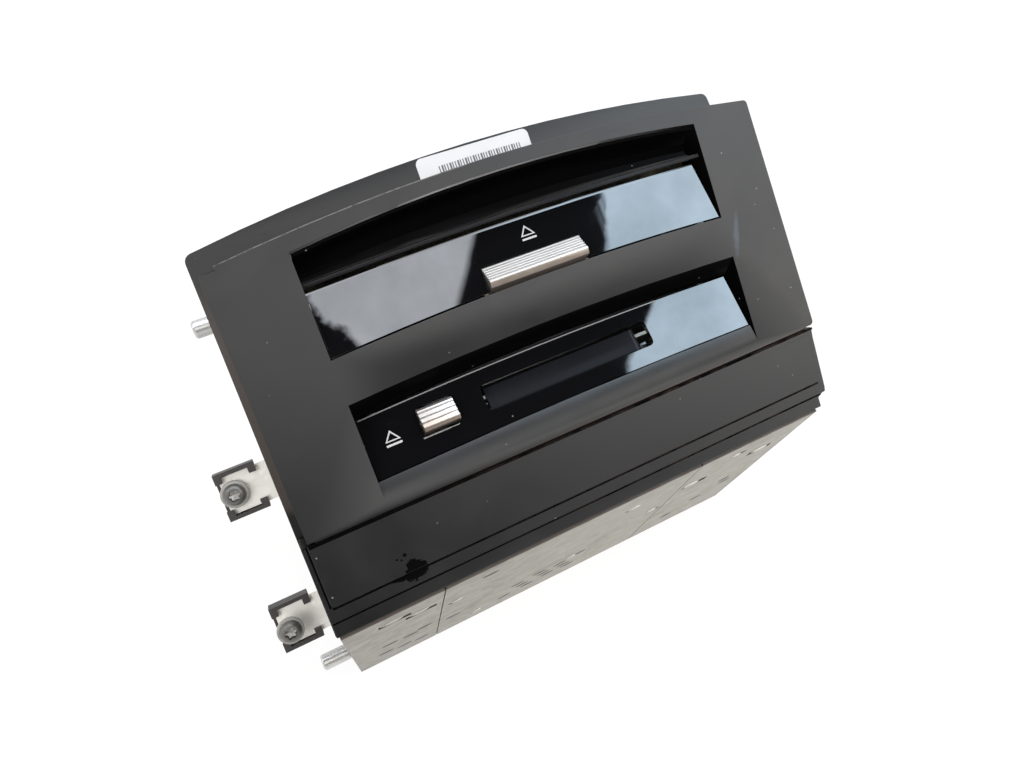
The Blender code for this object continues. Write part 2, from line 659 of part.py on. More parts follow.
def lower_cover(face):
    """Separate cover below the groove: raised inner panel, step and set-back lower band."""
    top = GROOVE_Z - GROOVE_WIDTH / 2
    right_top = PLATE_HALF - PLATE_DRAW_LOW - SHEET
    cover_out = 2.2 * MM
    foot_out = 2.0 * MM
    left = -PLATE_HALF - cover_out
    right_low = CHASSIS_RIGHT + foot_out
    step_low = 3.4 * MM
    step_high = 5.0 * MM
    wall = 2.2 * MM
    deep = 14.0 * MM
    plate_front = 0.7 * MM
    plate = 2.4 * MM
    panel_out = 0.3 * MM
    panel_low = 9.3 * MM
    panel_corner = 1.3 * MM
    band_high = 4.8 * MM
    right_step = right_low + foot_out * 1.5
    outline = [(left, 0), (right_low, 0), (right_low, step_low), (right_step, step_high),
               (right_step + panel_out, step_high * 1.3), (right_top, top), (left, top)]
    body = prism("lower_cover", outline, plate_front, deep, "y")
    inner = [(left + wall, wall), (right_low - wall, wall), (right_low - wall, step_high * 1.4),
             (right_step - wall, step_high * 1.4), (right_top - wall, top - wall), (left + wall, top - wall)]
    cut(body, prism("inside", inner, plate_front + plate, deep + OVERRUN, "y"))
    panel_left = -PLATE_HALF - panel_out
    panel_right = right_step - panel_corner
    panel = arc((panel_right - panel_corner, panel_low + panel_corner), panel_corner, -90, 0, 4)
    panel += [(right_top - panel_out, top), (panel_left, top)]
    panel += arc((panel_left + panel_corner, panel_low + panel_corner), panel_corner, 180, 270, 4)
    fuse(body, prism("panel", panel, 0, plate, "y"))
    fuse(body, box("tongue", (-PLATE_HALF + plate, GROOVE_SINK, top - OVERLAP),
                   (right_top - plate, GROOVE_SINK + plate, top + GROOVE_WIDTH - FIT / 2)))
    cut(body, box("band", (left - OVERRUN, -OVERRUN, -OVERRUN),
                  (PLATE_HALF + OVERRUN, plate_front * 2, band_high)))
    return settle(body, "bezel_plastic", face, soft_edge=COVER_EDGE, segments=1)


def recess_trim(face):
    """Concave glossy strip above the flap. Its shares are of depth, height and arch."""
    half = OPENING_HALF - FLAP_GAP / 2
    low = RAIL_LOW + TRIM_LIFT
    span = UPPER_HIGH - TRIM_HIGH_GAP - low
    rings = []
    for x in stations(half):
        least = arch(x, half, FLAP_TOP_RISE)
        most = arch(x, half, UPPER_HIGH_RISE)
        rings.append([(x, depth * TRIM_DEEP, low + height * span + least + (most - least) * rise)
                      for depth, height, rise in TRIM_SHARES])
    return settle(loft("recess_trim", rings), "gloss_black", face)


def flap_rail(face):
    """Thin grey rail along the lower lip of the recess trim."""
    half = OPENING_HALF - FLAP_GAP / 2
    rings = []
    for x in stations(half):
        low = RAIL_LOW + arch(x, half, FLAP_TOP_RISE)
        rings.append([(x, RAIL_FRONT, low), (x, RAIL_FRONT + RAIL_DEEP, low),
                      (x, RAIL_FRONT + RAIL_DEEP, low + RAIL_HIGH), (x, RAIL_FRONT, low + RAIL_HIGH)])
    return settle(loft("flap_rail", rings), "rail_grey", face, soft_edge=PANEL_EDGE)


def flap_body():
    half = OPENING_HALF - FLAP_GAP
    edge = FLAP_EDGE_RADIUS
    rings = []
    for x in stations(half):
        low = arch(x, half, UPPER_LOW_RISE)
        high = arch(x, half, FLAP_TOP_RISE)
        profile = [(*leaned(FLAP_FOOT, 0, 0), low)]
        for angle in (0, 30, 60, 90):
            out = -edge + edge * math.cos(math.radians(angle))
            up = FLAP_HIGH - edge + edge * math.sin(math.radians(angle))
            profile.append((*leaned(FLAP_FOOT, up, out), high))
        profile.append((*leaned(FLAP_FOOT, FLAP_HIGH, -FLAP_THICK), high))
        profile.append((*leaned(FLAP_FOOT, FLAP_THICK * math.tan(PANEL_LEAN), -FLAP_THICK), low))
        rings.append([(x, depth, height + rise) for depth, height, rise in profile])
    return loft("flap", rings)


def bar_outline(grow, lip):
    """Rectangle (x, up) of the bar's stem, grown by a clearance or a lip."""
    side = BAR_WIDE / 2 + grow + lip
    return BAR_X - side, BAR_X + side, BAR_LOW + BAR_HIGH + grow + lip


def leaned_block(name, foot, x_low, x_high, up_low, up_high, out_low, out_high):
    """Block square to a leaning panel."""
    ring = [leaned(foot, up_low, out_low), leaned(foot, up_high, out_low), leaned(foot, up_high, out_high),
            leaned(foot, up_low, out_high)]
    return prism(name, ring, x_low, x_high, "x")


def flap(parent, pivot):
    body = flap_body()
    for side in (-1, 1):
        low, high = sorted((side * LUG_X, side * (LUG_X + LUG_WIDE)))
        fuse(body, rod("lug", (low, *pivot), (high, *pivot), LUG_RADIUS))
    reach = LUG_X + LUG_WIDE + OVERRUN
    for side in (-1, 1):
        low, high = sorted((side * (LUG_X - OVERRUN), side * reach))
        cut(body, rod("bore", (low, *pivot), (high, *pivot), ROD_RADIUS + RUNNING_FIT))
    left, right, top = bar_outline(FIT, 0)
    cut(body, leaned_block("notch", FLAP_FOOT, left, right, -OVERRUN, top, -FLAP_THICK - OVERRUN, OVERRUN))
    return settle(body, "gloss_black", parent, (0, *pivot), soft_edge=PANEL_EDGE, segments=1)


def ribbed(start, end, count, depth):
    """Points from start to end, (up, out), with small ridges between them."""
    up = (end[0] - start[0]) / (count * 2 + 1)
    out = (end[1] - start[1]) / (count * 2 + 1)
    points = []
    for i in range(count * 2 + 1):
        sink = depth if i % 2 else 0
        points.append((start[0] + up * i, start[1] + out * i - sink))
        points.append((start[0] + up * (i + 1) - up * 0.1, start[1] + out * (i + 1) - sink))
    return points


def flap_bar(parent, pivot):
    """Silver eject bar: a ribbed facet above a ridge, a stem in the flap's notch and a lip behind."""
    low = BAR_LOW
    top = BAR_LOW + BAR_HIGH
    back = -FLAP_THICK - FIT - SHEET
    outline = [(low, back), (low, BAR_FOOT_PROUD), (low + BAR_RIDGE, BAR_PROUD)]
    outline += ribbed((low + BAR_RIDGE * 1.3, BAR_PROUD), (top - BAR_RIDGE / 3, BAR_TOP_PROUD), BAR_RIBS,
                      BAR_RIB_DEPTH)
    outline += [(top, BAR_TOP_PROUD / 2), (top, back)]
    left, right, _ = bar_outline(0, 0)
    body = prism("flap_bar", [leaned(FLAP_FOOT, up, out) for up, out in outline], left, right, "x")
    left, right, lip_top = bar_outline(0, BAR_LIP)
    fuse(body, leaned_block("lip", FLAP_FOOT, left, right, low, lip_top, back - OVERLAP, -FLAP_THICK - FIT))
    return settle(body, "silver_paint", parent, (BAR_X, *leaned(FLAP_FOOT, low, 0)), soft_edge=BUTTON_EDGE,
                  segments=1)


def coil(name, start, along, turns, radius, wire, run, sides=5, steps=9):
    """One unbroken coil of wire as a closed tube."""
    line = Vector(along).normalized()
    frame = line.to_track_quat("Z", "Y").to_matrix()
    count = int(turns * steps)
    path = []
    for i in range(count + 1):
        angle = 2 * math.pi * i / steps
        offset = frame @ Vector((radius * math.cos(angle), radius * math.sin(angle), 0))
        path.append(Vector(start) + line * (run * i / count) + offset)
    rings = []
    for i, point in enumerate(path):
        step = path[min(i + 1, count)] - path[max(i - 1, 0)]
        spoke = (point - Vector(start) - line * (run * i / count)).normalized()
        side = step.normalized().cross(spoke)
        rings.append([point + spoke * wire * math.cos(2 * math.pi * k / sides)
                      + side * wire * math.sin(2 * math.pi * k / sides) for k in range(sides)])
    return loft(name, rings)


def flap_rod(face, pivot):
    half = OPENING_HALF + TUNNEL_WALL - FIT * 2
    return settle(rod("flap_rod", (-half, *pivot), (half, *pivot), ROD_RADIUS), "bright_steel", face)


def flap_spring(face, pivot):
    wire = 0.25 * MM
    turns = 5
    run = wire * 4 * turns
    start = (LUG_X - run - SHEET, *pivot)
    return settle(coil("flap_spring", start, (1, 0, 0), turns, ROD_RADIUS + wire + FIT / 2, wire, run),
                  "bright_steel", face)


def card_panel(face):
    """Glossy lower panel with the card slot, the button hole and two lugs for the door's pins."""
    half = OPENING_HALF - FLAP_GAP
    rings = []
    for x in stations(half):
        low = arch(x, half, LOWER_LOW_RISE)
        high = arch(x, half, CARD_TOP_RISE)
        profile = [(*leaned(CARD_FOOT, 0, 0), low), (*leaned(CARD_FOOT, CARD_HIGH, 0), high),
                   (*leaned(CARD_FOOT, CARD_HIGH, -CARD_THICK), high),
                   (*leaned(CARD_FOOT, CARD_THICK * math.tan(PANEL_LEAN), -CARD_THICK), low)]
        rings.append([(x, depth, height + rise) for depth, height, rise in profile])
    body = loft("card_panel", rings)
    lug = 3.0 * MM
    pin_up, pin_out = door_pin()
    lug_back = pin_out - lug / 2
    for side in (-1, 1):
        near = DOOR_X + side * (DOOR_WIDE / 2 + FIT)
        low, high = sorted((near, near + side * lug))
        fuse(body, leaned_block("lug", CARD_FOOT, low, high, pin_up - lug / 2, pin_up + lug / 2, lug_back,
                                -CARD_THICK + OVERLAP))
        pin = leaned(CARD_FOOT, pin_up, pin_out)
        bore = DOOR_PIN_RADIUS + RUNNING_FIT
        cut(body, rod("bore", (low - OVERRUN, *pin), (high + OVERRUN, *pin), bore, 12))
    half = SLOT_WIDE / 2
    slot = rounded((SLOT_X - half, SLOT_LOW), (SLOT_X + half, SLOT_LOW + SLOT_HIGH), SLOT_CORNER)
    cut(body, through_panel("slot", slot))
    hole = rounded((BUTTON_X - BUTTON_WIDE / 2 - FIT, button_up() - BUTTON_HIGH / 2 - FIT * 3),
                   (BUTTON_X + BUTTON_WIDE / 2 + FIT, button_up() + BUTTON_HIGH / 2 + FIT * 3), SHEET)
    cut(body, through_panel("hole", hole))
    return settle(body, "gloss_black", face, soft_edge=PANEL_EDGE, segments=1)


def through_panel(name, outline):
    """Cutter square to the card panel, drawn from an (x, up) outline."""
    rings = []
    for out in (-CARD_THICK - OVERLAP, OVERRUN):
        rings.append([(x, *leaned(CARD_FOOT, up, out)) for x, up in outline])
    return loft(name, rings)


def button_up():
    """Height of the button's middle along the card panel."""
    lean = FACE_TILT - PANEL_LEAN
    return (BUTTON_Z - to_unit(*CARD_FOOT)[1]) / math.cos(lean)


def door_pin():
    """Middle of the door's pins, (up, out) on the card panel."""
    return SLOT_LOW + DOOR_PIN_RADIUS, -CARD_THICK - FIT - DOOR_THICK / 2 - FIT


def card_door(parent, pin):
    """Spring door of the card slot, on two pins along its bottom edge."""
    up, out = door_pin()
    low = DOOR_X - DOOR_WIDE / 2
    high = DOOR_X + DOOR_WIDE / 2
    body = leaned_block("card_door", CARD_FOOT, low, high, up, up + DOOR_HIGH - DOOR_PIN_RADIUS,
                        out - DOOR_THICK / 2, out + DOOR_THICK / 2)
    reach = 2.6 * MM
    fuse(body, rod("pin", (low - reach, *pin), (high + reach, *pin), DOOR_PIN_RADIUS, 12))
    return settle(body, "clip_black", parent, (0, *pin), soft_edge=0.0)


def card_button(unit):
    """Ribbed silver card button with its stem."""
    half = BUTTON_WIDE / 2
    low = BUTTON_Z - BUTTON_HIGH / 2
    high = BUTTON_Z + BUTTON_HIGH / 2
    crown = SHEET * 0.9
    outline = [(BUTTON_BACK, low + OVERRUN), (BUTTON_FRONT + crown * 4, low + OVERRUN),
               (BUTTON_FRONT + crown * 4, low), (BUTTON_FRONT + crown, low)]
    ribs = ribbed((low + crown, 0), (high - crown, 0), BUTTON_RIBS, BAR_RIB_DEPTH)
    outline += [(BUTTON_FRONT - out, up) for up, out in ribs]
    outline += [(BUTTON_FRONT + crown, high), (BUTTON_FRONT + crown * 4, high),
                (BUTTON_FRONT + crown * 4, high - OVERRUN), (BUTTON_BACK, high - OVERRUN)]
    body = prism("card_button", outline, BUTTON_X - half, BUTTON_X + half, "x")
    return settle(body, "silver_paint", unit, (BUTTON_X, BUTTON_FRONT, BUTTON_Z), soft_edge=BUTTON_EDGE)


def card_rod(unit):
    half = CARD_ROD_HALF
    start = BUTTON_BACK + FIT
    end = LEVER_Y - LEVER_HALF - FIT
    body = box("card_rod", (BUTTON_X - half, start, CAGE_Z - half), (BUTTON_X + half, end, CAGE_Z + half))
    collar = COLLAR_HALF
    fuse(body, box("collar", (BUTTON_X - collar, start, CAGE_Z - collar),
                   (BUTTON_X + collar, start + SHEET, CAGE_Z + collar)))
    return settle(body, "bright_steel", unit, (BUTTON_X, start, CAGE_Z))


def card_spring(unit):
    """Coil that pushes the card button back out, between the rod's collar and the deck's tab."""
    wire = CARD_SPRING_WIRE
    start = BUTTON_BACK + FIT * 2 + SHEET + wire
    radius = CARD_ROD_HALF * math.sqrt(2) + wire + FIT
    body = coil("card_spring", (BUTTON_X, start, CAGE_Z), (0, 1, 0), 5, radius, wire, CARD_SPRING_RUN)
    return settle(body, "bright_steel", unit, (BUTTON_X, start + CARD_SPRING_RUN, CAGE_Z))


def card_cage(unit):
    """Metal guide for the card, closed at the back by its contact block."""
    half = CARD_WIDE / 2
    space = CARD_SPACE / 2
    body = box("card_cage", (SLOT_X - half - SHEET, CAGE_FRONT, CAGE_Z - space - SHEET),
               (SLOT_X + half + SHEET, CAGE_BACK, CAGE_Z + space + SHEET))
    block = 6.0 * MM
    cut(body, box("inside", (SLOT_X - half, CAGE_FRONT - OVERRUN, CAGE_Z - space),
                  (SLOT_X + half, CAGE_BACK - block, CAGE_Z + space)))
    window = 14.0 * MM
    cut(body, box("lever_way", (SLOT_X - half - SHEET - OVERRUN, LEVER_Y - window / 2, CAGE_Z - LEVER_THICK),
                  (SLOT_X - half + OVERLAP, LEVER_Y + window / 4, CAGE_Z + LEVER_THICK)))
    opening = 18.0 * MM
    for side in (-1, 1):
        middle = SLOT_X + side * half / 2
        cut(body, box("light_way", (middle - opening / 2, LEVER_Y / 4, CAGE_Z - CARD_SPACE * 2),
                      (middle + opening / 2, LEVER_Y * 0.75, CAGE_Z)))
    return settle(body, "galvanised", unit)


def card_lever(unit):
    """Flat lever that turns the push of the rod into a push on the card's back edge."""
    half = LEVER_HALF
    low = CAGE_Z - LEVER_THICK / 2
    high = CAGE_Z + LEVER_THICK / 2
    left = LEVER_X - LEVER_ARM - half
    right = LEVER_X + LEVER_TIP
    body = box("card_lever", (left, LEVER_Y - half, low), (right, LEVER_Y + half / 2, high))
    fuse(body, rod("hub", (LEVER_X, LEVER_Y, low), (LEVER_X, LEVER_Y, high), half * 1.2))
    bore = half / 2 + RUNNING_FIT
    cut(body, rod("bore", (LEVER_X, LEVER_Y, low - OVERRUN), (LEVER_X, LEVER_Y, high + OVERRUN), bore))
    return settle(body, "bright_steel", unit, (LEVER_X, LEVER_Y, CAGE_Z))


def front_board(face):
    """Circuit board behind the card panel, with the switch that the button's collar reaches."""
    thick = 1.6 * MM
    left = -OPENING_HALF + TUNNEL_WALL + SHEET * 1.4
    right = SLOT_X - SLOT_WIDE / 2 - SHEET * 3.4
    low = LOWER_LOW
    high = CARD_FOOT[1] + SLOT_LOW + SHEET * 5
    near = LOWER_TUNNEL + FIT
    body = box("front_board", (left, near, low), (right, near + thick, high))
    way = 4.6 * MM
    depth_mid = near + thick / 2
    height_mid = (BUTTON_Z - depth_mid * math.sin(FACE_TILT)) / math.cos(FACE_TILT)
    cut(body, box("rod_way", (BUTTON_X - way * 1.5, near - OVERRUN, height_mid - way * 1.5),
                  (BUTTON_X + way * 1.5, near + thick + OVERRUN, height_mid + way * 1.5)))
    chip = 5.0 * MM
    for spot in (left + chip * 1.2, right - chip * 1.1):
        fuse(body, box("chip", (spot - chip / 2, near + thick - OVERLAP, low + chip),
                       (spot + chip / 2, near + thick + SHEET, low + chip * 2)))
    return settle(body, "board_green", face)


def side_wall(name, outer, inner, strip_end):
    """One side plate of the chassis with its foot wrapped under the unit."""
    top = CHASSIS_HIGH - SHEET - FIT
    outline = [(slanted(0), 0), (CHASSIS_BACK, 0), (CHASSIS_BACK, top), (slanted(top), top)]
    low, high = sorted((outer, inner))
    wall = prism(name, outline, low, high, "x")
    low, high = sorted((outer, strip_end))
    return fuse(wall, box("strip", (low, FLOOR_FRONT, 0), (high, CHASSIS_BACK, SHEET)))


def floor_slots(body, left, right, shares):
    """Cuts narrow slots at shares of the strip's width and depth."""
    for across, along in shares:
        x = left + (right - left) * across
        y = CHASSIS_BACK * along
        cut(body, box("slot", (x - FLOOR_SLOT_LONG / 2, y - FLOOR_SLOT_WIDE / 2, -OVERRUN),
                      (x + FLOOR_SLOT_LONG / 2, y + FLOOR_SLOT_WIDE / 2, OVERRUN)))
    return body


def bridges(body, left, right, shares):
    """Lanced bridges: each a long hole with a pressed strip across it."""
    half = BRIDGE_WIDE / 2
    reach = BRIDGE_LONG / 2
    for across, along in shares:
        x = left + (right - left) * across
        y = CHASSIS_BACK * along
        cut(body, box("hole", (x - reach, y - half, -OVERRUN), (x + reach, y + half, OVERRUN)))
        fuse(body, box("strip", (x - reach - OVERLAP, y - half / 2, SHEET * 0.45),
                       (x + reach + OVERLAP, y + half / 8, SHEET * 0.95)))
    return body


def chassis_left(unit):
    body = side_wall("chassis_left", CHASSIS_LEFT, CHASSIS_LEFT + SHEET, SEAM_LEFT - SEAM / 2)
    floor_slots(body, CHASSIS_LEFT, SEAM_LEFT, LEFT_SLOT_SHARES)
    bridges(body, CHASSIS_LEFT, SEAM_LEFT, LEFT_BRIDGE_SHARES)
    return settle(body, "galvanised", unit)


def chassis_right(unit):
    body = side_wall("chassis_right", CHASSIS_RIGHT, CHASSIS_RIGHT - SHEET, SEAM_RIGHT + SEAM / 2)
    floor_slots(body, SEAM_RIGHT, CHASSIS_RIGHT, RIGHT_SLOT_SHARES)
    bridges(body, SEAM_RIGHT, CHASSIS_RIGHT, RIGHT_BRIDGE_SHARES)
    return settle(body, "galvanised", unit)


def chassis_bottom(unit):
    low = SEAM_LEFT + SEAM / 2
    high = SEAM_RIGHT - SEAM / 2
    body = box("chassis_bottom", (low, FLOOR_FRONT, 0), (high, CHASSIS_BACK, SHEET))
    floor_slots(body, SEAM_LEFT, SEAM_RIGHT, MIDDLE_SLOT_SHARES)
    return settle(body, "galvanised", unit)


def top_cover(unit):
    front = slanted(CHASSIS_HIGH) + FIT
    body = box("top_cover", (CHASSIS_LEFT, front, CHASSIS_HIGH - SHEET),
               (CHASSIS_RIGHT, CHASSIS_BACK, CHASSIS_HIGH))
    vent = 24.0 * MM
    slot = 1.0 * MM
    for i in range(6):
        y = SWING_Y - i * slot * 4
        for x in (CHASSIS_LEFT + vent, CHASSIS_RIGHT - vent * 2):
            cut(body, box("vent", (x, y - slot, CHASSIS_HIGH - OVERRUN),
                          (x + vent, y + slot, CHASSIS_HIGH + OVERRUN)))
    return settle(body, "galvanised", unit)


def rear_panel(unit):
    """Rear panel, on which the unit lies, with the ways for both sockets."""
    left = CHASSIS_LEFT + SHEET + FIT
    right = CHASSIS_RIGHT - SHEET - FIT
    body = box("rear_panel", (left, CHASSIS_BACK - SHEET, SHEET + FIT),
               (right, CHASSIS_BACK, CHASSIS_HIGH - SHEET - FIT))
    floor = BOARD_Z + BOARD_THICK
    for x, half, tall in SOCKETS.values():
        cut(body, box("socket_way", (x - half - FIT, CHASSIS_BACK - OVERRUN, floor),
                      (x + half + FIT, CHASSIS_BACK + OVERRUN, floor + tall + FIT * 2)))
    return settle(body, "galvanised", unit)


def rear_socket(unit, name):
    """Plug socket on the board's rear edge, open to the back, flush with the panel."""
    middle, half, tall = SOCKETS[name]
    low = middle - half
    high = middle + half
    deep = SOCKET_DEEP
    wall = 1.6 * MM
    floor = BOARD_Z + BOARD_THICK + FIT
    back = CHASSIS_BACK - FIT
    body = box(name, (low, back - deep, floor), (high, back, floor + tall))
    rows = 2
    gap = (high - low - wall) / rows
    for i in range(rows):
        start = low + wall + gap * i
        cut(body, box("cell", (start, back - deep + wall * 2, floor + wall),
                      (start + gap - wall, back + OVERRUN, floor + tall - wall)))
    return settle(body, "socket_black", unit)


def main_board(unit):
    """Main board on four standoffs, with its larger parts."""
    left = CHASSIS_LEFT + BOARD_INSET
    right = CHASSIS_RIGHT - BOARD_INSET
    front = BOARD_FRONT
    back = CHASSIS_BACK - BOARD_BACK_GAP
    body = box("main_board", (left, front, BOARD_Z), (right, back, BOARD_Z + BOARD_THICK))
    foot = 3.0 * MM
    inset = BOARD_INSET
    for x in (left + inset, right - inset):
        for y in (front + inset, back - inset):
            fuse(body, rod("standoff", (x, y, SHEET + FIT), (x, y, BOARD_Z + OVERLAP), foot, 12))
    top = BOARD_Z + BOARD_THICK
    for across, along, wide, deep, tall in BOARD_PART_SHARES:
        x = left + (right - left) * across
        y = front + (back - front) * along
        half = (right - left) * wide / 2
        reach = (back - front) * deep / 2
        crest = top + BOARD_PART_HIGH * tall
        fuse(body, box("chip", (x - half, y - reach, top - OVERLAP), (x + half, y + reach, crest)))
    return settle(body, "board_green", unit)


def deck_plate(unit):
    """Deck between the board space and the disc bay, with the pivot pins and the spring's tab."""
    left = CHASSIS_LEFT + SHEET + FIT
    right = CHASSIS_RIGHT - SHEET - FIT
    top = DECK_Z + DECK_THICK
    body = box("deck_plate", (left, DECK_FRONT, DECK_Z), (right, CHASSIS_BACK - SHEET - FIT, top))
    tongue = 3.6 * MM
    for x, y in POSTS.values():
        if y < DECK_FRONT:
            fuse(body, box("tongue", (x - tongue, y - POST_RADIUS - FIT, DECK_Z), (x + tongue, 0, top)))
    pin = 1.3 * MM
    low = CAGE_Z - LEVER_THICK * 1.5
    fuse(body, rod("lever_pin", (LEVER_X, LEVER_Y, low), (LEVER_X, LEVER_Y, DECK_Z + OVERLAP), pin))
    post = SWING_POST
    crest = JAW_Z + JAW_THICK * 3
    fuse(body, rod("swing_post", (SWING_X, SWING_Y, top - OVERLAP), (SWING_X, SWING_Y, crest), post))
    tab_y = BUTTON_BACK + FIT * 3 + SHEET + CARD_SPRING_WIRE * 2 + CARD_SPRING_RUN
    tab = COLLAR_HALF + OVERLAP - SHEET / 10
    fuse(body, box("tab", (BUTTON_X - tab, tab_y, CAGE_Z - tab),
                   (BUTTON_X + tab, tab_y + SHEET, DECK_Z + OVERLAP)))
    way = CARD_ROD_HALF + FIT
    cut(body, box("rod_way", (BUTTON_X - way, tab_y - OVERRUN, CAGE_Z - way),
                  (BUTTON_X + way, tab_y + OVERRUN, CAGE_Z + way)))
    return settle(body, "galvanised", unit)


def bracket(face, name, side):
    """Side bracket: a strip along the chassis wall with two tabs that face forward."""
    wall = CHASSIS_LEFT if side < 0 else CHASSIS_RIGHT
    near = wall + side * FIT
    far = near + side * SHEET
    deep = BRACKET_DEPTH + BRACKET_STRIP
    low, high = sorted((near, far))
    bottom = TAB_MIDDLES["lower"] - TAB_HALF
    top = TAB_MIDDLES["upper"] + TAB_HALF
    body = box(name, (low, BRACKET_DEPTH, bottom), (high, deep, top))
    for middle in TAB_MIDDLES.values():
        low, high = sorted((near, wall + side * (TAB_LONG + OVERLAP)))
        fuse(body, box("tab", (low, BRACKET_DEPTH, middle - TAB_HALF),
                       (high, BRACKET_DEPTH + BRACKET_THICK, middle + TAB_HALF)))
        x = wall + side * SCREW_REACH
        cut(body, rod("hole", (x, BRACKET_DEPTH - OVERRUN, middle), (x, BRACKET_DEPTH + OVERRUN * 2, middle),
                      SCREW_RADIUS + FIT, 16))
    return settle(body, "bright_steel", face)


def clip(face, name, place):
    """Black spring clip round a tab: a back plate, two side rails and four front hooks."""
    middle = TAB_MIDDLES[place]
    wrap = 1.6 * MM
    clear = 4.6 * MM
    lip = 1.3 * MM
    left = CHASSIS_LEFT - TAB_LONG - wrap
    right = CHASSIS_LEFT - clear
    rail = 1.2 * MM
    half = TAB_HALF + FIT + rail
    front = BRACKET_DEPTH - lip
    back = BRACKET_DEPTH + BRACKET_THICK + FIT
    thick = 1.6 * MM
    hook_wide = 2.2 * MM
    hook = 2.0 * MM
    body = box(name, (left, back, middle - half), (right, back + thick, middle + half))
    for side in (-1, 1):
        low, high = sorted((middle + side * (half - rail), middle + side * half))
        fuse(body, box("rail", (left, front, low), (right, back + OVERLAP, high)))
        for x in (left, right - hook_wide):
            low, high = sorted((middle + side * (half - rail - hook), middle + side * half))
            fuse(body, box("hook", (x, front, low), (x + hook_wide, BRACKET_DEPTH - FIT, high)))
    x = CHASSIS_LEFT - SCREW_REACH
    cut(body, rod("hole", (x, back - OVERRUN, middle), (x, back + thick + OVERRUN, middle),
                  SCREW_RADIUS + FIT, 16))
    return settle(body, "clip_black", face)


def screw(face, name, x, middle, lift):
    """Flange screw with a lobed socket. It faces forward and may stand proud by its lift."""
    seat = BRACKET_DEPTH - FIT - lift
    flange = 1.2 * MM
    dome = SCREW_DOME_HIGH
    profile = [(0, SCREW_DOME * 0.55), (dome * 0.12, SCREW_DOME * 0.82), (dome * 0.4, SCREW_DOME * 0.97),
               (dome, SCREW_DOME), (dome + FIT, SCREW_FLANGE), (dome + flange, SCREW_FLANGE),
               (dome + flange + FIT / 3, SCREW_RADIUS), (dome + flange + SCREW_LONG, SCREW_RADIUS * 0.9)]
    start = seat - dome - flange
    body = turned(name, (x, start, middle), (0, 1, 0), profile, 20)
    lobes = []
    for i in range(12):
        radius = SCREW_DOME * (0.38 if i % 2 else 0.52)
        angle = 2 * math.pi * i / 12
        lobes.append((x + radius * math.cos(angle), middle + radius * math.sin(angle)))
    cut(body, prism("socket", lobes, start - OVERRUN, start + dome, "y"))
    return settle(body, "screw_steel", face, (x, start, middle))


def guide_pin(unit, name, y, z, long):
    """Steel guide pin that stands out of the left side plate."""
    radius = PIN_RADIUS
    end = 0.7 * MM
    start = CHASSIS_LEFT - FIT
    profile = [(0, radius), (long - end, radius), (long - end / 3, radius - end / 3), (long, radius - end)]
    return settle(turned(name, (start, y, z), (-1, 0, 0), profile), "bright_steel", unit, (start, y, z))


def slot_frame(unit):
    """Frame of the disc slot with two cheeks that hold the roller and stand on the deck."""
    front = ROLLER_Y - ROLLER_RADIUS * 1.6
    plate = 1.5 * MM
    cheek = 1.3 * MM
    cheek_in = OPENING_HALF - TUNNEL_WALL - cheek - BEZEL_EDGE / 2
    low = DECK_Z + DECK_THICK * 13
    high = SLOT_Z + ROLLER_RADIUS * 2.85
    foot_front = DECK_FRONT + FIT
    foot_back = 1.0 * MM
    cheek_back = ROLLER_Y + ROLLER_RADIUS * 2.125
    under_arm = ARM_Z - TUNNEL_WALL * 4.375
    body = box("slot_frame", (-cheek_in - cheek, front, low), (cheek_in + cheek, front + plate, high))
    slot_half = TRAY_HALF + OVERLAP
    slot_tall = 2.6 * MM
    cut(body, box("slot", (-slot_half, front - OVERRUN, SLOT_Z - slot_tall),
                  (slot_half, front + OVERRUN, SLOT_Z + slot_tall)))
    outline = [(front, low), (front + plate * 6, low), (foot_front, DECK_Z + DECK_THICK * 4),
               (foot_front, DECK_Z + DECK_THICK + FIT), (foot_back, DECK_Z + DECK_THICK + FIT),
               (foot_back, under_arm - plate * 3), (cheek_back, under_arm), (cheek_back, high), (front, high)]
    for side in (-1, 1):
        near, far = sorted((side * cheek_in, side * (cheek_in + cheek)))
        fuse(body, prism("cheek", outline, near, far, "x"))
        cut(body, rod("bore", (near - OVERRUN, ROLLER_Y, roller_z()), (far + OVERRUN, ROLLER_Y, roller_z()),
                      ROLLER_SHAFT + RUNNING_FIT))
    return settle(body, "socket_black", unit)


def roller_z():
    return SLOT_Z - DISC_HALF - FIT - ROLLER_RADIUS


def disc_roller(unit):
    """Rubber roller on its shaft, thinner at the middle."""
    crown = 0.5 * MM
    waist = ROLLER_RADIUS - crown
    shaft_end = GEAR_X - FIT
    left = -shaft_end + GEAR_WIDE
    run = shaft_end - left
    half = ROLLER_HALF
    profile = [(0, ROLLER_SHAFT), (-half - left, ROLLER_SHAFT), (-half - left + FIT, ROLLER_RADIUS),
               (-left, waist), (half - left - FIT, ROLLER_RADIUS), (half - left, ROLLER_SHAFT),
               (run, ROLLER_SHAFT)]
    body = turned("disc_roller", (left, ROLLER_Y, roller_z()), (1, 0, 0), profile)
    return settle(body, "rubber", unit, (0, ROLLER_Y, roller_z()))


def roller_gear(unit):
    teeth = gear_outline(ROLLER_TEETH, (ROLLER_Y, roller_z()))
    body = prism("roller_gear", teeth, GEAR_X, GEAR_X + GEAR_WIDE, "x")
    return settle(body, "gear_white", unit, (GEAR_X, ROLLER_Y, roller_z()))


def gear_distance():
    return MODULE * (ROLLER_TEETH + PINION_TEETH) / 2


def loading_spot():
    """Middle (y, z) of the loading motor's pinion, in mesh with the roller gear."""
    reach = gear_distance()
    return ROLLER_Y + reach * math.cos(LOADING_ANGLE), roller_z() + reach * math.sin(LOADING_ANGLE)


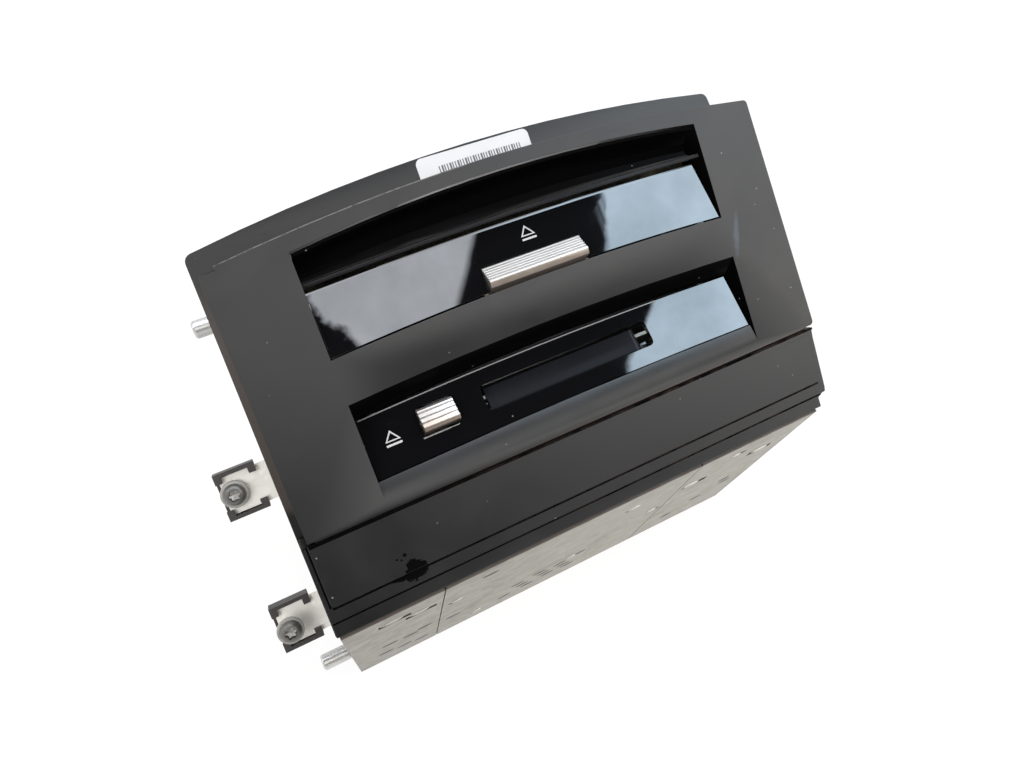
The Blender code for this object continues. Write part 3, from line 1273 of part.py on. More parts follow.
def loading_pinion(unit):
    """Pinion turned so that a gap of its own faces a tooth of the roller gear."""
    y, z = loading_spot()
    gear_phase = (LOADING_ANGLE * ROLLER_TEETH / (2 * math.pi)) % 1
    phase = (0.5 - gear_phase) / PINION_TEETH * 2 * math.pi
    turn = LOADING_ANGLE + math.pi - phase
    teeth = [(p[0], p[1]) for p in gear_outline(PINION_TEETH, (y, z), turn)]
    body = prism("loading_pinion", teeth, GEAR_X, GEAR_X + GEAR_WIDE, "x")
    return settle(body, "gear_white", unit, (GEAR_X, y, z))


def loading_motor(unit):
    """Can motor beside the cheek, with a foot on the deck."""
    y, z = loading_spot()
    radius = 4.5 * MM
    start = GEAR_X + GEAR_WIDE + FIT
    end = CHASSIS_RIGHT - SHEET - FIT
    body = rod("loading_motor", (start, y, z), (end, y, z), radius)
    foot = 1.8 * MM
    low = DECK_Z + DECK_THICK + FIT
    fuse(body, box("upright", (start + SHEET, y - foot, low), (end - SHEET, y + foot, z)))
    fuse(body, box("foot", (start + SHEET, y - foot, low), (end - SHEET, foot, low + foot)))
    return settle(body, "bright_steel", unit)


def stocker_tray(parent, number):
    """Thin tray with a disc seat, post holes, a cam pin and a way for the drive's arm."""
    level = TRAY_LEVELS[number]
    top = level + TRAY_THICK
    body = box("stocker_tray_%d" % (number + 1), (-TRAY_HALF, TRAY_FRONT, level), (TRAY_HALF, TRAY_BACK, top))
    cut(body, rod("seat", (DISC_X, DISC_Y, top - TRAY_THICK / 3), (DISC_X, DISC_Y, top + OVERRUN),
                  DISC_SEAT, 36))
    hub = 22.0 * MM
    cut(body, rod("hub_way", (DISC_X, DISC_Y, level - OVERRUN), (DISC_X, DISC_Y, top + OVERRUN), hub, 24))
    angle = math.atan2(SWING_Y - DISC_Y, SWING_X)
    way = box("arm_way", (0, -hub * 0.8, level - OVERRUN), (TRAY_HALF * 2, hub * 0.8, top + OVERRUN))
    way.data.transform(Matrix.Translation((DISC_X, DISC_Y, 0)) @ Matrix.Rotation(angle, 4, "Z"))
    cut(body, way)
    for x, y in POSTS.values():
        cut(body, rod("post_way", (x, y, level - OVERRUN), (x, y, top + OVERRUN),
                      POST_RADIUS + RUNNING_FIT, 10))
    pin_y = TRAY_PIN_FIRST + TRAY_PIN_STEP * (number % 3)
    middle = level + TRAY_THICK / 2
    fuse(body, rod("pin", (TRAY_HALF - SHEET, pin_y, middle), (CAM_X + CAM_THICK / 2, pin_y, middle),
                   TRAY_PIN_RADIUS, 10))
    return settle(body, "tray_grey", parent)


def guide_post(unit, place):
    x, y = POSTS[place]
    body = rod("guide_post_" + place, (x, y, DECK_Z + DECK_THICK + FIT), (x, y, POST_TOP), POST_RADIUS, 16)
    return settle(body, "bright_steel", unit)


def cam_plate(parent):
    """Cam plate with a sloped slot for each tray pin and a rack on its outer side."""
    body = box("cam_plate", (CAM_X, CAM_FRONT, CAM_LOW), (CAM_X + CAM_THICK, CAM_BACK, CAM_TOP))
    half = TRAY_PIN_RADIUS + RUNNING_FIT
    for number, (level, lift) in enumerate(zip(TRAY_LEVELS, TRAY_LIFTS)):
        middle = level + TRAY_THICK / 2
        start = (TRAY_PIN_FIRST + TRAY_PIN_STEP * (number % 3), middle)
        end = (start[0] - CAM_TRAVEL, middle + lift)
        angle = math.degrees(math.atan2(end[1] - start[1], end[0] - start[0]))
        outline = arc(end, half, angle - 90, angle + 90, 6) + arc(start, half, angle + 90, angle + 270, 6)
        cut(body, prism("slot", outline, CAM_X - OVERRUN, CAM_X + CAM_THICK + OVERRUN, "x"))
    pitch = math.pi * MODULE
    first = PINION_Y - CAM_TRAVEL - pitch * 2
    teeth = rack_outline(first, 14, RACK_LINE, RACK_BACK)
    outer = CAM_X + CAM_THICK
    rack = prism("rack", teeth, outer - OVERLAP, outer + RACK_THICK, "x")
    return settle(fuse(body, rack), "bright_steel", parent, (CAM_X, CAM_FRONT, CAM_LOW))


def cam_pinion(parent):
    """Pinion under the rack, turned so that a gap of its own faces a tooth."""
    z = RACK_LINE - MODULE * PINION_TEETH / 2
    pitch = math.pi * MODULE
    first = PINION_Y - CAM_TRAVEL - pitch * 2
    phase = ((PINION_Y - first) / pitch) % 1
    turn = RIGHT_ANGLE + (0.5 + phase) * 2 * math.pi / PINION_TEETH
    low = CAM_X + CAM_THICK + FIT
    body = prism("cam_pinion", gear_outline(PINION_TEETH, (PINION_Y, z), turn), low, low + RACK_THICK, "x")
    return settle(body, "gear_white", parent, (low, PINION_Y, z))


def cam_motor(unit):
    z = RACK_LINE - MODULE * PINION_TEETH / 2
    start = CAM_X + CAM_THICK + RACK_THICK + FIT * 3
    end = CHASSIS_RIGHT - SHEET - FIT
    body = rod("cam_motor", (start, PINION_Y, z), (end, PINION_Y, z), z - DECK_Z - DECK_THICK - FIT)
    return settle(body, "bright_steel", unit)


def arm_outline(reach, half, pivot_half):
    """Plan of an arm from the pivot straight to the front, rounded at both ends."""
    far = (SWING_X, SWING_Y - reach)
    near = (SWING_X, SWING_Y)
    return arc(far, half, 180, 360, 10) + arc(near, pivot_half, 0, 180, 10)


def swing_base(parent):
    """Lower jaw of the swing base, with its hub, the sled's window and the spindle motor's hole."""
    top = ARM_Z + ARM_THICK
    half = ARM_HALF - SHEET / 2
    body = prism("swing_base", arm_outline(SWING_REACH, half, half), ARM_Z, top, "z")
    hub = HUB_RADIUS
    post = SWING_POST
    fuse(body, rod("hub", (SWING_X, SWING_Y, ARM_Z), (SWING_X, SWING_Y, JAW_Z - FIT), hub))
    cut(body, rod("bore", (SWING_X, SWING_Y, ARM_Z - OVERRUN), (SWING_X, SWING_Y, JAW_Z + OVERRUN),
                  post + RUNNING_FIT))
    spindle = SWING_Y - SWING_REACH
    cut(body, rod("spindle_way", (SWING_X, spindle, ARM_Z - OVERRUN), (SWING_X, spindle, top + OVERRUN),
                  SPINDLE_WAY))
    start = spindle + SLED_INNER - SLED_HALF - SHEET
    end = spindle + SLED_INNER + SLED_TRAVEL + SLED_HALF + SHEET
    cut(body, box("window", (SWING_X - SLED_WINDOW, start, ARM_Z - OVERRUN),
                  (SWING_X + SLED_WINDOW, end, top + OVERRUN)))
    lug = 1.5 * MM
    for x in (SWING_X - ROD_OFFSET, SWING_X + ROD_OFFSET):
        for y in (start - lug * 2, end + lug):
            fuse(body, box("lug", (x - lug, y, ARM_Z - lug * 2), (x + lug, y + lug, ARM_Z + OVERLAP)))
            cut(body, rod("seat", (x, y - OVERRUN, ROD_Z), (x, y + lug + OVERRUN, ROD_Z),
                          SLED_ROD_RADIUS + RUNNING_FIT, 12))
    return settle(body, "galvanised", parent, (SWING_X, SWING_Y, ARM_Z))


def clamp_arm(parent):
    """Upper jaw with the clamp puck that presses the disc on the turntable."""
    narrow = HUB_RADIUS - SHEET
    hub = HUB_RADIUS
    post = SWING_POST
    outline = arm_outline(SWING_REACH, TURNTABLE_RADIUS - SHEET, hub)
    body = prism("clamp_arm", outline, JAW_Z, JAW_Z + JAW_THICK, "z")
    side = TURNTABLE_RADIUS
    far = SWING_Y - SWING_REACH + TURNTABLE_RADIUS
    for turn in (-1, 1):
        low, high = sorted((SWING_X + turn * narrow, SWING_X + turn * (side + OVERRUN)))
        cut(body, box("waist", (low, far, JAW_Z - OVERRUN),
                      (high, SWING_Y - hub, JAW_Z + JAW_THICK + OVERRUN)))
    fuse(body, rod("puck", (SWING_X, SWING_Y - SWING_REACH, JAW_Z - SHEET / 2),
                   (SWING_X, SWING_Y - SWING_REACH, JAW_Z + OVERLAP), TURNTABLE_RADIUS - OVERRUN))
    cut(body, rod("bore", (SWING_X, SWING_Y, JAW_Z - OVERRUN), (SWING_X, SWING_Y, JAW_Z + OVERRUN * 2),
                  post + RUNNING_FIT))
    return settle(body, "galvanised", parent, (SWING_X, SWING_Y, JAW_Z))


def spindle_motor(parent):
    """Flat motor under the arm, with its boss through the arm's hole."""
    y = SWING_Y - SWING_REACH
    tall = MOTOR_HIGH
    top = ARM_Z - FIT
    profile = [(0, MOTOR_RADIUS), (tall, MOTOR_RADIUS), (tall + SHEET / 10, SPINDLE_WAY - FIT),
               (tall + FIT + ARM_THICK + SHEET, SPINDLE_WAY - FIT)]
    body = turned("spindle_motor", (SWING_X, y, top - tall), (0, 0, 1), profile, 32)
    return settle(body, "bright_steel", parent, (SWING_X, y, top - tall))


def turntable(parent):
    """Turntable with its centring cone."""
    y = SWING_Y - SWING_REACH
    low = ARM_Z + ARM_THICK + SHEET + FIT
    plate = TURNTABLE_HIGH
    cone = TURNTABLE_HIGH * 0.8
    profile = [(0, TURNTABLE_RADIUS * 0.8), (SHEET, TURNTABLE_RADIUS), (plate, TURNTABLE_RADIUS),
               (plate + SHEET / 10, TURNTABLE_RADIUS * 0.64), (plate + cone, TURNTABLE_RADIUS * 0.5)]
    body = turned("turntable", (SWING_X, y, low), (0, 0, 1), profile, 32)
    notch = 0.8 * MM
    cut(body, box("mark", (SWING_X - notch, y + TURNTABLE_RADIUS * 0.8, low - OVERRUN),
                  (SWING_X + notch, y + TURNTABLE_RADIUS + OVERRUN, low + plate + OVERRUN)))
    return settle(body, "gear_white", parent, (SWING_X, y, low))


def laser_sled(parent):
    """Sled with its lens, riding on both rods."""
    y = SWING_Y - SWING_REACH + SLED_INNER
    half = SLED_WIDE
    wall = 1.5 * MM
    low = ROD_Z - wall
    top = ARM_Z + ARM_THICK + wall
    body = box("laser_sled", (SWING_X - half, y - SLED_HALF, low), (SWING_X + half, y + SLED_HALF, top))
    ear = ROD_OFFSET + SLED_ROD_RADIUS + SHEET
    fuse(body, box("ears", (SWING_X - ear, y - SLED_HALF / 2, low),
                   (SWING_X + ear, y + SLED_HALF / 2, ARM_Z - FIT)))
    fuse(body, rod("lens", (SWING_X, y, top - OVERLAP), (SWING_X, y, top + SHEET), SLED_HALF * 0.55, 16))
    for x in (SWING_X - ROD_OFFSET, SWING_X + ROD_OFFSET):
        cut(body, rod("bore", (x, y - SLED_HALF * 2, ROD_Z), (x, y + SLED_HALF * 2, ROD_Z),
                      SLED_ROD_RADIUS + RUNNING_FIT, 12))
    return settle(body, "socket_black", parent, (SWING_X, y, ROD_Z))


def rod_ends():
    spindle = SWING_Y - SWING_REACH
    start = spindle + SLED_INNER - SLED_HALF - SHEET
    end = spindle + SLED_INNER + SLED_TRAVEL + SLED_HALF + SHEET
    lug = 1.5 * MM
    return start - lug * 2, end + lug * 2


def sled_rod(parent):
    start, end = rod_ends()
    x = SWING_X - ROD_OFFSET
    body = rod("sled_rod", (x, start, ROD_Z), (x, end, ROD_Z), SLED_ROD_RADIUS, 12)
    return settle(body, "bright_steel", parent)


def sled_screw(parent):
    """Lead screw on the other side of the sled, with a twisted section for its thread."""
    start, end = rod_ends()
    x = SWING_X + ROD_OFFSET
    count = 36
    rings = []
    for i in range(count + 1):
        y = start + (end - start) * i / count
        turn = 2 * math.pi * (y - start) / SCREW_LEAD
        ring = []
        for k in range(6):
            radius = SLED_ROD_RADIUS * (1.0 if k % 3 == 0 else 0.8)
            angle = turn + 2 * math.pi * k / 6
            ring.append((x + radius * math.cos(angle), y, ROD_Z + radius * math.sin(angle)))
        rings.append(ring)
    return settle(loft("sled_screw", rings), "bright_steel", parent, (x, start, ROD_Z))


def sled_motor(parent):
    """Small motor at the far end of the screw, under the arm."""
    _, end = rod_ends()
    x = SWING_X + ROD_OFFSET - SHEET
    radius = 2.6 * MM
    long = 12.0 * MM
    z = ARM_Z - FIT - radius
    body = rod("sled_motor", (x, end + FIT, z), (x, end + FIT + long, z), radius, 16)
    return settle(body, "bright_steel", parent)


def front_group(unit, face):
    pivot = flap_pivot()
    hinge = empty("flap_hinge", face, (0, *pivot))
    bezel(face)
    lower_cover(face)
    recess_trim(face)
    flap_rail(face)
    for piece in (flap(face, pivot), flap_bar(face, pivot)):
        piece.location = piece.location - hinge.location
        piece.parent = hinge
    flap_rod(face, pivot)
    flap_spring(face, pivot)
    card_panel(face)
    card_door(face, leaned(CARD_FOOT, *door_pin()))
    front_board(face)
    card_button(unit)
    card_rod(unit)
    card_spring(unit)
    card_cage(unit)
    card_lever(unit)


def chassis_group(unit, face):
    chassis_left(unit)
    chassis_right(unit)
    chassis_bottom(unit)
    top_cover(unit)
    rear_panel(unit)
    deck_plate(unit)
    main_board(unit)
    for name in SOCKETS:
        rear_socket(unit, name)
    bracket(face, "bracket_left", -1)
    bracket(face, "bracket_right", 1)
    for place, middle in TAB_MIDDLES.items():
        clip(face, "clip_" + place, place)
        screw(face, "screw_left_" + place, CHASSIS_LEFT - SCREW_REACH, middle, SCREW_LIFTS[place])
        screw(face, "screw_right_" + place, CHASSIS_RIGHT + SCREW_REACH, middle, 0)
    guide_pin(unit, "guide_pin_upper", PIN_UPPER_Y, PIN_UPPER_Z, PIN_UPPER_LONG)
    guide_pin(unit, "guide_pin_lower", PIN_LOWER_Y, PIN_LOWER_Z, PIN_LOWER_LONG)


def mechanism_group(unit):
    slot_frame(unit)
    disc_roller(unit)
    roller_gear(unit)
    loading_pinion(unit)
    loading_motor(unit)
    for place in POSTS:
        guide_post(unit, place)
    for number in range(len(TRAY_LEVELS)):
        stocker_tray(unit, number)
    cam_plate(unit)
    cam_pinion(unit)
    cam_motor(unit)
    swing_base(unit)
    clamp_arm(unit)
    spindle_motor(unit)
    turntable(unit)
    laser_sled(unit)
    sled_rod(unit)
    sled_screw(unit)
    sled_motor(unit)


def main():
    clear_scene()
    middle = (CHASSIS_LEFT + CHASSIS_RIGHT) / 2
    unit = empty("unit_frame", location=(-middle, -CHASSIS_HIGH / 2, CHASSIS_BACK), turn_x=-RIGHT_ANGLE)
    face = empty("face_frame", unit, turn_x=FACE_TILT)
    front_group(unit, face)
    chassis_group(unit, face)
    mechanism_group(unit)


main()
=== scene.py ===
"""Dresses the in-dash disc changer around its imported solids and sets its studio."""
import json
import math
from itertools import product

import bmesh
import bpy
from bpy.props import FloatProperty, FloatVectorProperty, PointerProperty
from mathutils import Matrix, Vector


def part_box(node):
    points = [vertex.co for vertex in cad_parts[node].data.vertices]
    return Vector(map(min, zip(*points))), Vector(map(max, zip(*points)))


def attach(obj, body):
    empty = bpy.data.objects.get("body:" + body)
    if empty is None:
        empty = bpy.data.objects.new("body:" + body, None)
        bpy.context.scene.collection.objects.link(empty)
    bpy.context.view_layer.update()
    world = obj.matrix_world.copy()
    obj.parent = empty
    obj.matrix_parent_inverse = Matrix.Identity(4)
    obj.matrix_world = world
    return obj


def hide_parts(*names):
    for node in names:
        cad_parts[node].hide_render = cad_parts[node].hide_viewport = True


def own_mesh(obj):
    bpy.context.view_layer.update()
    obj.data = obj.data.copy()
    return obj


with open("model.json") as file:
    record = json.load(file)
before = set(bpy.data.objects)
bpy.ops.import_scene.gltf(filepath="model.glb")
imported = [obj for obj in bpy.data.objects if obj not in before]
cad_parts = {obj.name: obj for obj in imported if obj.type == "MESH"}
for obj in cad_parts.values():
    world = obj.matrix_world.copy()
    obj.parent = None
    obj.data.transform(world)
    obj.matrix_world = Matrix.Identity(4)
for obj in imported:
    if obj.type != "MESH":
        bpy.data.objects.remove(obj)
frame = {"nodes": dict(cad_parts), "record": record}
nodes = frame["nodes"]
bodies = frame["record"]["behaviour"]["bodies"]
body_of = {node: body for body, members in bodies.items() for node in members}

bl_info = {
    "name": "In-dash disc changer",
    "version": (1, 0, 0),
    "blender": (4, 5, 0),
    "location": "3D View > Sidebar > Disc changer",
    "description": "Finishes, small fittings and studio of an in-dash disc changer",
    "category": "Object",
}

MM = 0.001


def mm(*values):
    """Point given in millimetres."""
    return Vector(values) * MM


# Places of the unit, its front face and the two leaning panels. On the face and the panels
# X runs right, Y up along them and Z out of them. On the unit Y runs back and Z up.
CASE_DEEP = 104.0
CORNER = Matrix.Translation(mm(4.8, -51.25, CASE_DEEP))
LEAN_ANGLE = math.radians(18)
LEAN = Matrix.Rotation(-LEAN_ANGLE, 4, "X")
FACE_PLACE = CORNER @ Matrix.Rotation(math.radians(30), 4, "X")
FLAP_PLACE = FACE_PLACE @ Matrix.Translation(mm(0, 76.8, -0.5)) @ LEAN
CARD_PLACE = FACE_PLACE @ Matrix.Translation(mm(0, 38.2, -2.0)) @ LEAN
UNIT_PLACE = CORNER @ Matrix.Rotation(math.radians(-90), 4, "X")
FACE_BACK = FACE_PLACE.inverted()
UNIT_BACK = UNIT_PLACE.inverted()

# Millimetres on the face and the unit
OPENING_HALF = 69.6
PANEL_HALF = 68.4
PLATE_HALF = 93.8
PLATE_TOP = 117.4
PLATE_RISE = 7.0
CASE_LEFT = -95.3
CASE_RIGHT = 85.7
SEAM_LEFT = -61.6
SEAM_RIGHT = 35.0
FLANGE_FRONT = -15.5
TAB_FRONT = -24.7
# Flange screws: their X and Y on the face, and the one that stands out by some millimetres
SCREW_X = {"left": CASE_LEFT - 13.0, "right": CASE_RIGHT + 13.0}
SCREW_UP = {"upper": 47.3, "lower": 1.9}
LOOSE_SCREW = ("left", "lower", 4.3)
# Case screws of each side: how far back and how high
CASE_SCREWS = ((96.0, 14.0), (96.0, 88.0), (56.0, 94.0))
# Rear sockets: name, left, right, floor, top and contact pins in a row of each half
SOCKETS = (("main", 4.0, 56.0, 7.9, 33.9, 8), ("small", -62.0, -34.0, 7.9, 25.9, 4))
SOCKET_WALL = 1.6
# Contact pins: where they start, their length and the radius of foot and tip
PIN_BACK = 90.6
PIN_LONG = 8.4
PIN_RADII = (0.55, 0.32)
# Rise of each leaning panel's foot and top at its middle, and its height
FLAP_BOW = (2.4, 1.5, 21.2)
CARD_BOW = (1.0, 1.5, 19.0)
# Dark films of painted shade in the seams of the lower cover: left, low, right, high and how far out
COVER_SEAM_SHADES = ((-94.0, 8.5, 88.6, 9.28, -0.69), (-95.9, 4.05, 89.0, 4.78, -1.39),
               (-94.75, 9.28, -94.12, 28.7, -0.69), (-93.9, 27.95, 92.0, 28.78, -0.01))
# Dark films of painted shade over the slots: a panel's two sides, then shares of its width and of the depth
SLOTS = (
    (CASE_LEFT, SEAM_LEFT, ((0.409, 0.596), (0.647, 0.615), (0.818, 0.577), (0.350, 0.769),
                            (0.573, 0.808), (0.795, 0.846))),
    (SEAM_LEFT, SEAM_RIGHT, ((0.056, 0.337), (0.060, 0.669), (0.181, 0.856), (0.312, 0.832),
                             (0.643, 0.644), (0.356, 0.673), (0.387, 0.740), (0.418, 0.808),
                             (0.454, 0.654), (0.485, 0.721), (0.516, 0.788), (0.557, 0.683),
                             (0.589, 0.750), (0.620, 0.817), (0.946, 0.462), (0.767, 0.212),
                             (0.172, 0.135))),
    (SEAM_RIGHT, CASE_RIGHT, ((0.424, 0.135), (0.750, 0.635), (0.513, 0.712), (0.276, 0.808),
                              (0.700, 0.577))))
SLOT_SHADOW_SIZE = (6.4, 3.2)
# Lanced slots whose lip gets a painted highlight: X and Y on the underside, and their length
LIP_HIGHLIGHTS = ((-79.6, 12.6, 8.0), (-70.2, 19.2, 7.0), (-56.0, 33.2, 5.0), (12.4, 20.3, 6.0),
        (40.6, 29.4, 8.0), (70.6, 24.0, 8.0), (-44.2, 87.4, 5.0), (-3.8, 66.0, 5.0),
        (54.2, 13.2, 5.0), (28.4, 46.4, 5.0))
# Painted highlight along the card panel's top edge: left, right, height, rise, width and how far out
CARD_TOP_HIGHLIGHT = (-67.6, 40.0, 18.88, 1.5, 0.34, -0.02)
LABEL_SPOT = (-1.75, 125.15)
# Place of the camera, and its directions to the right, up and ahead
CAMERA_AT = (-83.296, -86.423, 336.126)
CAMERA_AXES = ((0.88677, -0.44729, 0.11647), (0.35949, 0.82583, 0.43449), (0.29053, 0.34342, -0.89311))
# Lamps: name, place, width and the setting that holds their power. All aim at one spot.
LAMPS = (("key_lamp", (0.95, -0.05, 1.15), 1.1, "key"), ("fill_lamp", (0.0, 0.9, 1.2), 0.9, "fill"),
         ("side_lamp", (-0.95, -0.35, 1.05), 1.0, "side"))
LAMP_AIM = (0.0, 0.0, 0.08)
# Bends of the right window's near edge: from and to along Y, and the shift
JAMB_BENDS = ((-0.12, -0.03, 0.085), (-0.03, 0.10, -0.045), (0.10, 0.21, 0.03))
# Colours of wear and of painted shade
BLACK = (0.0022, 0.0022, 0.0024, 1)
SHADOW = (0.0018, 0.0015, 0.0015)
PALE_DUST = (0.30, 0.29, 0.27, 1)


def colour_setting(name, about, default):
    """Setting for a colour."""
    return FloatVectorProperty(name=name, description=about, subtype="COLOR", size=3, min=0, max=1,
                               default=default)


def length_setting(name, about, default):
    """Setting for a length, with its default in millimetres."""
    return FloatProperty(name=name, description=about, unit="LENGTH", min=0, default=default * MM)


def power_setting(name, about, default):
    """Setting for a lamp's power."""
    return FloatProperty(name=name, description=about, subtype="POWER", min=0, default=default)


class FinishSettings(bpy.types.PropertyGroup):
    """Colours and wear of the finishes."""

    plastic: colour_setting("Face plastic", "Colour of the grained front", (0.0095, 0.0094, 0.0098))
    lacquer: colour_setting("Gloss black", "Colour of the polished panels", (0.003, 0.003, 0.0035))
    silver: colour_setting("Silver paint", "Colour of the bar and the button", (0.44, 0.405, 0.38))
    zinc: colour_setting("Zinc", "Colour of the galvanised case", (0.32, 0.30, 0.25))
    steel: colour_setting("Steel", "Colour of the bare steel", (0.60, 0.59, 0.56))
    board: colour_setting("Solder mask", "Colour of the circuit boards", (0.012, 0.075, 0.035))
    dust: FloatProperty(name="Dust", description="Share of the specks of dust that show",
                        subtype="FACTOR", min=0, max=1, default=0.10)


class FormSettings(bpy.types.PropertyGroup):
    """Sizes of the soft edges and of the small fittings."""

    soft: length_setting("Soft edge", "Rounding of moulded edges", 0.3)
    sheet_soft: length_setting("Sheet edge", "Rounding of cut sheet edges", 0.12)
    mark_wide: length_setting("Mark width", "Width of the eject marks", 5.0)
    mark_line: length_setting("Mark line", "Line width of the eject marks", 0.8)
    label_long: length_setting("Label length", "Length of the label on the flange", 39.7)
    label_high: length_setting("Label height", "Height of the label on the flange", 7.2)
    print_thick: length_setting("Print thickness", "Thickness of marks and films", 0.06)
    head: length_setting("Case screw", "Radius of the small case screws", 2.7)


class StudioSettings(bpy.types.PropertyGroup):
    """Light, floor and camera."""

    key: power_setting("Key light", "Power of the large lamp", 17.0)
    fill: power_setting("Fill light", "Power of the second lamp", 9.0)
    side: power_setting("Side light", "Power of the lamp on the left", 17.0)
    room: FloatProperty(name="Room light", description="Strength of the light from all sides",
                        min=0, default=0.3)
    sky: FloatProperty(name="Window glow", description="Glow of the windows that the gloss mirrors",
                       min=0, default=5.4)
    floor: colour_setting("Floor", "Colour of the floor", (0.93, 0.93, 0.93))
    lens: FloatProperty(name="Lens", description="Focal length of the camera",
                        subtype="DISTANCE_CAMERA", min=1, default=26.504)


def settings():
    """The three groups of settings."""
    scene = bpy.context.scene
    return scene.changer_finish, scene.changer_form, scene.changer_studio


# Shader helpers

def add(tree, kind, inputs=None, **options):
    """Adds one shader node, sets its options, and sets or links its inputs."""
    made = tree.nodes.new(kind)
    for key, value in options.items():
        setattr(made, key, value)
    for key, value in (inputs or {}).items():
        if isinstance(value, bpy.types.NodeSocket):
            tree.links.new(value, made.inputs[key])
        else:
            made.inputs[key].default_value = value
    return made


def shade(colour, factor):
    """Colour made lighter or darker, with its alpha."""
    return tuple(min(1.0, c * factor) for c in colour) + (1.0,)


def mapped(tree, place, scale=(1, 1, 1), turn=(0, 0, 0), shift=(0, 0, 0), kind="POINT"):
    """Pattern coordinates that are stretched, turned and shifted."""
    inputs = {"Vector": place, "Scale": scale, "Rotation": turn, "Location": shift}
    return add(tree, "ShaderNodeMapping", inputs, vector_type=kind).outputs["Vector"]


def ruled(tree, place, frame_place):
    """Coordinates in millimetres in another place, and their three parts."""
    spot, turn, size = frame_place.inverted().decompose()
    moved = mapped(tree, place, (1000, 1000, 1000), turn.to_euler(), spot * 1000)
    parts = add(tree, "ShaderNodeSeparateXYZ", {"Vector": moved}).outputs
    return moved, parts["X"], parts["Y"], parts["Z"]


def noise(tree, place, scale, detail=2.0, rough=0.5, warp=0.0):
    """Cloudy value from 0 to 1."""
    inputs = {"Vector": place, "Scale": scale, "Detail": detail, "Roughness": rough, "Distortion": warp}
    return add(tree, "ShaderNodeTexNoise", inputs).outputs["Fac"]


def span(tree, value, low, high, to_low=0.0, to_high=1.0):
    """Value between two limits, stretched to another span and held inside it."""
    inputs = {"Value": value, "From Min": low, "From Max": high, "To Min": to_low, "To Max": to_high}
    return add(tree, "ShaderNodeMapRange", inputs).outputs["Result"]


def calc(tree, operation, first, second=0.0, third=0.0):
    """One sum on values."""
    made = add(tree, "ShaderNodeMath", {0: first, 1: second, 2: third}, operation=operation)
    return made.outputs["Value"]


def either(tree, *masks):
    """Largest of the masks."""
    result = masks[0]
    for mask in masks[1:]:
        result = calc(tree, "MAXIMUM", result, mask)
    return result


def both(tree, *values):
    """Product of masks."""
    result = values[0]
    for value in values[1:]:
        result = calc(tree, "MULTIPLY", result, value)
    return result


def inside(tree, value, low, high, soft):
    """1 between two limits, 0 beyond them, with soft ends."""
    return both(tree, span(tree, value, low - soft, low + soft), span(tree, value, high + soft, high - soft))


def blend(tree, factor, first, second):
    """Colour between two colours."""
    made = add(tree, "ShaderNodeMix", data_type="RGBA")
    for socket, value in ((made.inputs[0], factor), (made.inputs[6], first), (made.inputs[7], second)):
        if isinstance(value, bpy.types.NodeSocket):
            tree.links.new(value, socket)
        else:
            socket.default_value = value
    return made.outputs[2]


def over(tree, tone, colour, *masks):
    """Tone with a colour laid over it where all the masks hold."""
    return blend(tree, both(tree, *masks), tone, colour)


def patch(tree, spot, middle, half, turn=0.0, ragged=0.0, grain=0.5, soft=0.15):
    """1 inside an oval patch with a ragged rim, 0 outside it."""
    local = mapped(tree, spot, (*half, 40.0), (0, 0, turn), (*middle, 0.0), "TEXTURE")
    reach = add(tree, "ShaderNodeVectorMath", {0: local}, operation="LENGTH").outputs["Value"]
    if ragged:
        wave = span(tree, noise(tree, spot, grain, 4.0, 0.6), 0.25, 0.75, -ragged, ragged)
        reach = calc(tree, "ADD", reach, wave)
    return span(tree, reach, 1.0 + soft, 1.0 - soft)


def specks(tree, place, scale, radius, share):
    """Sparse round specks: 1 inside, 0 outside."""
    cells = add(tree, "ShaderNodeTexVoronoi", {"Vector": place, "Scale": scale})
    near = span(tree, cells.outputs["Distance"], radius, radius * 0.6)
    pick = add(tree, "ShaderNodeSeparateColor", {"Color": cells.outputs["Color"]}).outputs["Red"]
    return both(tree, near, calc(tree, "LESS_THAN", pick, share))


def hairlines(tree, place, scale, along, turn, width):
    """Fine scratches in one direction: 1 on a line, 0 beside it."""
    stretched = mapped(tree, place, (scale * along, scale, scale), turn)
    wave = noise(tree, stretched, 1.0, 1.0)
    near = calc(tree, "ABSOLUTE", calc(tree, "SUBTRACT", wave, 0.5))
    region = span(tree, noise(tree, place, 60.0, 2.0), 0.52, 0.62)
    return both(tree, span(tree, near, width, 0.0), region)


def new_finish(name, rough, metal, **sockets):
    """Material with one shader, and the coordinates its patterns read."""
    material = bpy.data.materials.new(name)
    material.use_nodes = True
    tree = material.node_tree
    shader = tree.nodes["Principled BSDF"]
    shader.inputs["Roughness"].default_value = rough
    shader.inputs["Metallic"].default_value = metal
    for key, value in sockets.items():
        shader.inputs[key.replace("_", " ")].default_value = value
    place = add(tree, "ShaderNodeTexCoord").outputs["Object"]
    return material, tree, shader, place


def bumped(tree, shader, height, strength, distance):
    """Lets a pattern raise and lower the surface."""
    made = add(tree, "ShaderNodeBump", {"Height": height, "Strength": strength, "Distance": distance})
    tree.links.new(made.outputs["Normal"], shader.inputs["Normal"])


def feed(tree, shader, **values):
    """Links values to the shader's inputs, which are named with underscores."""
    for key, value in values.items():
        tree.links.new(value, shader.inputs[key.replace("_", " ")])


# Finishes

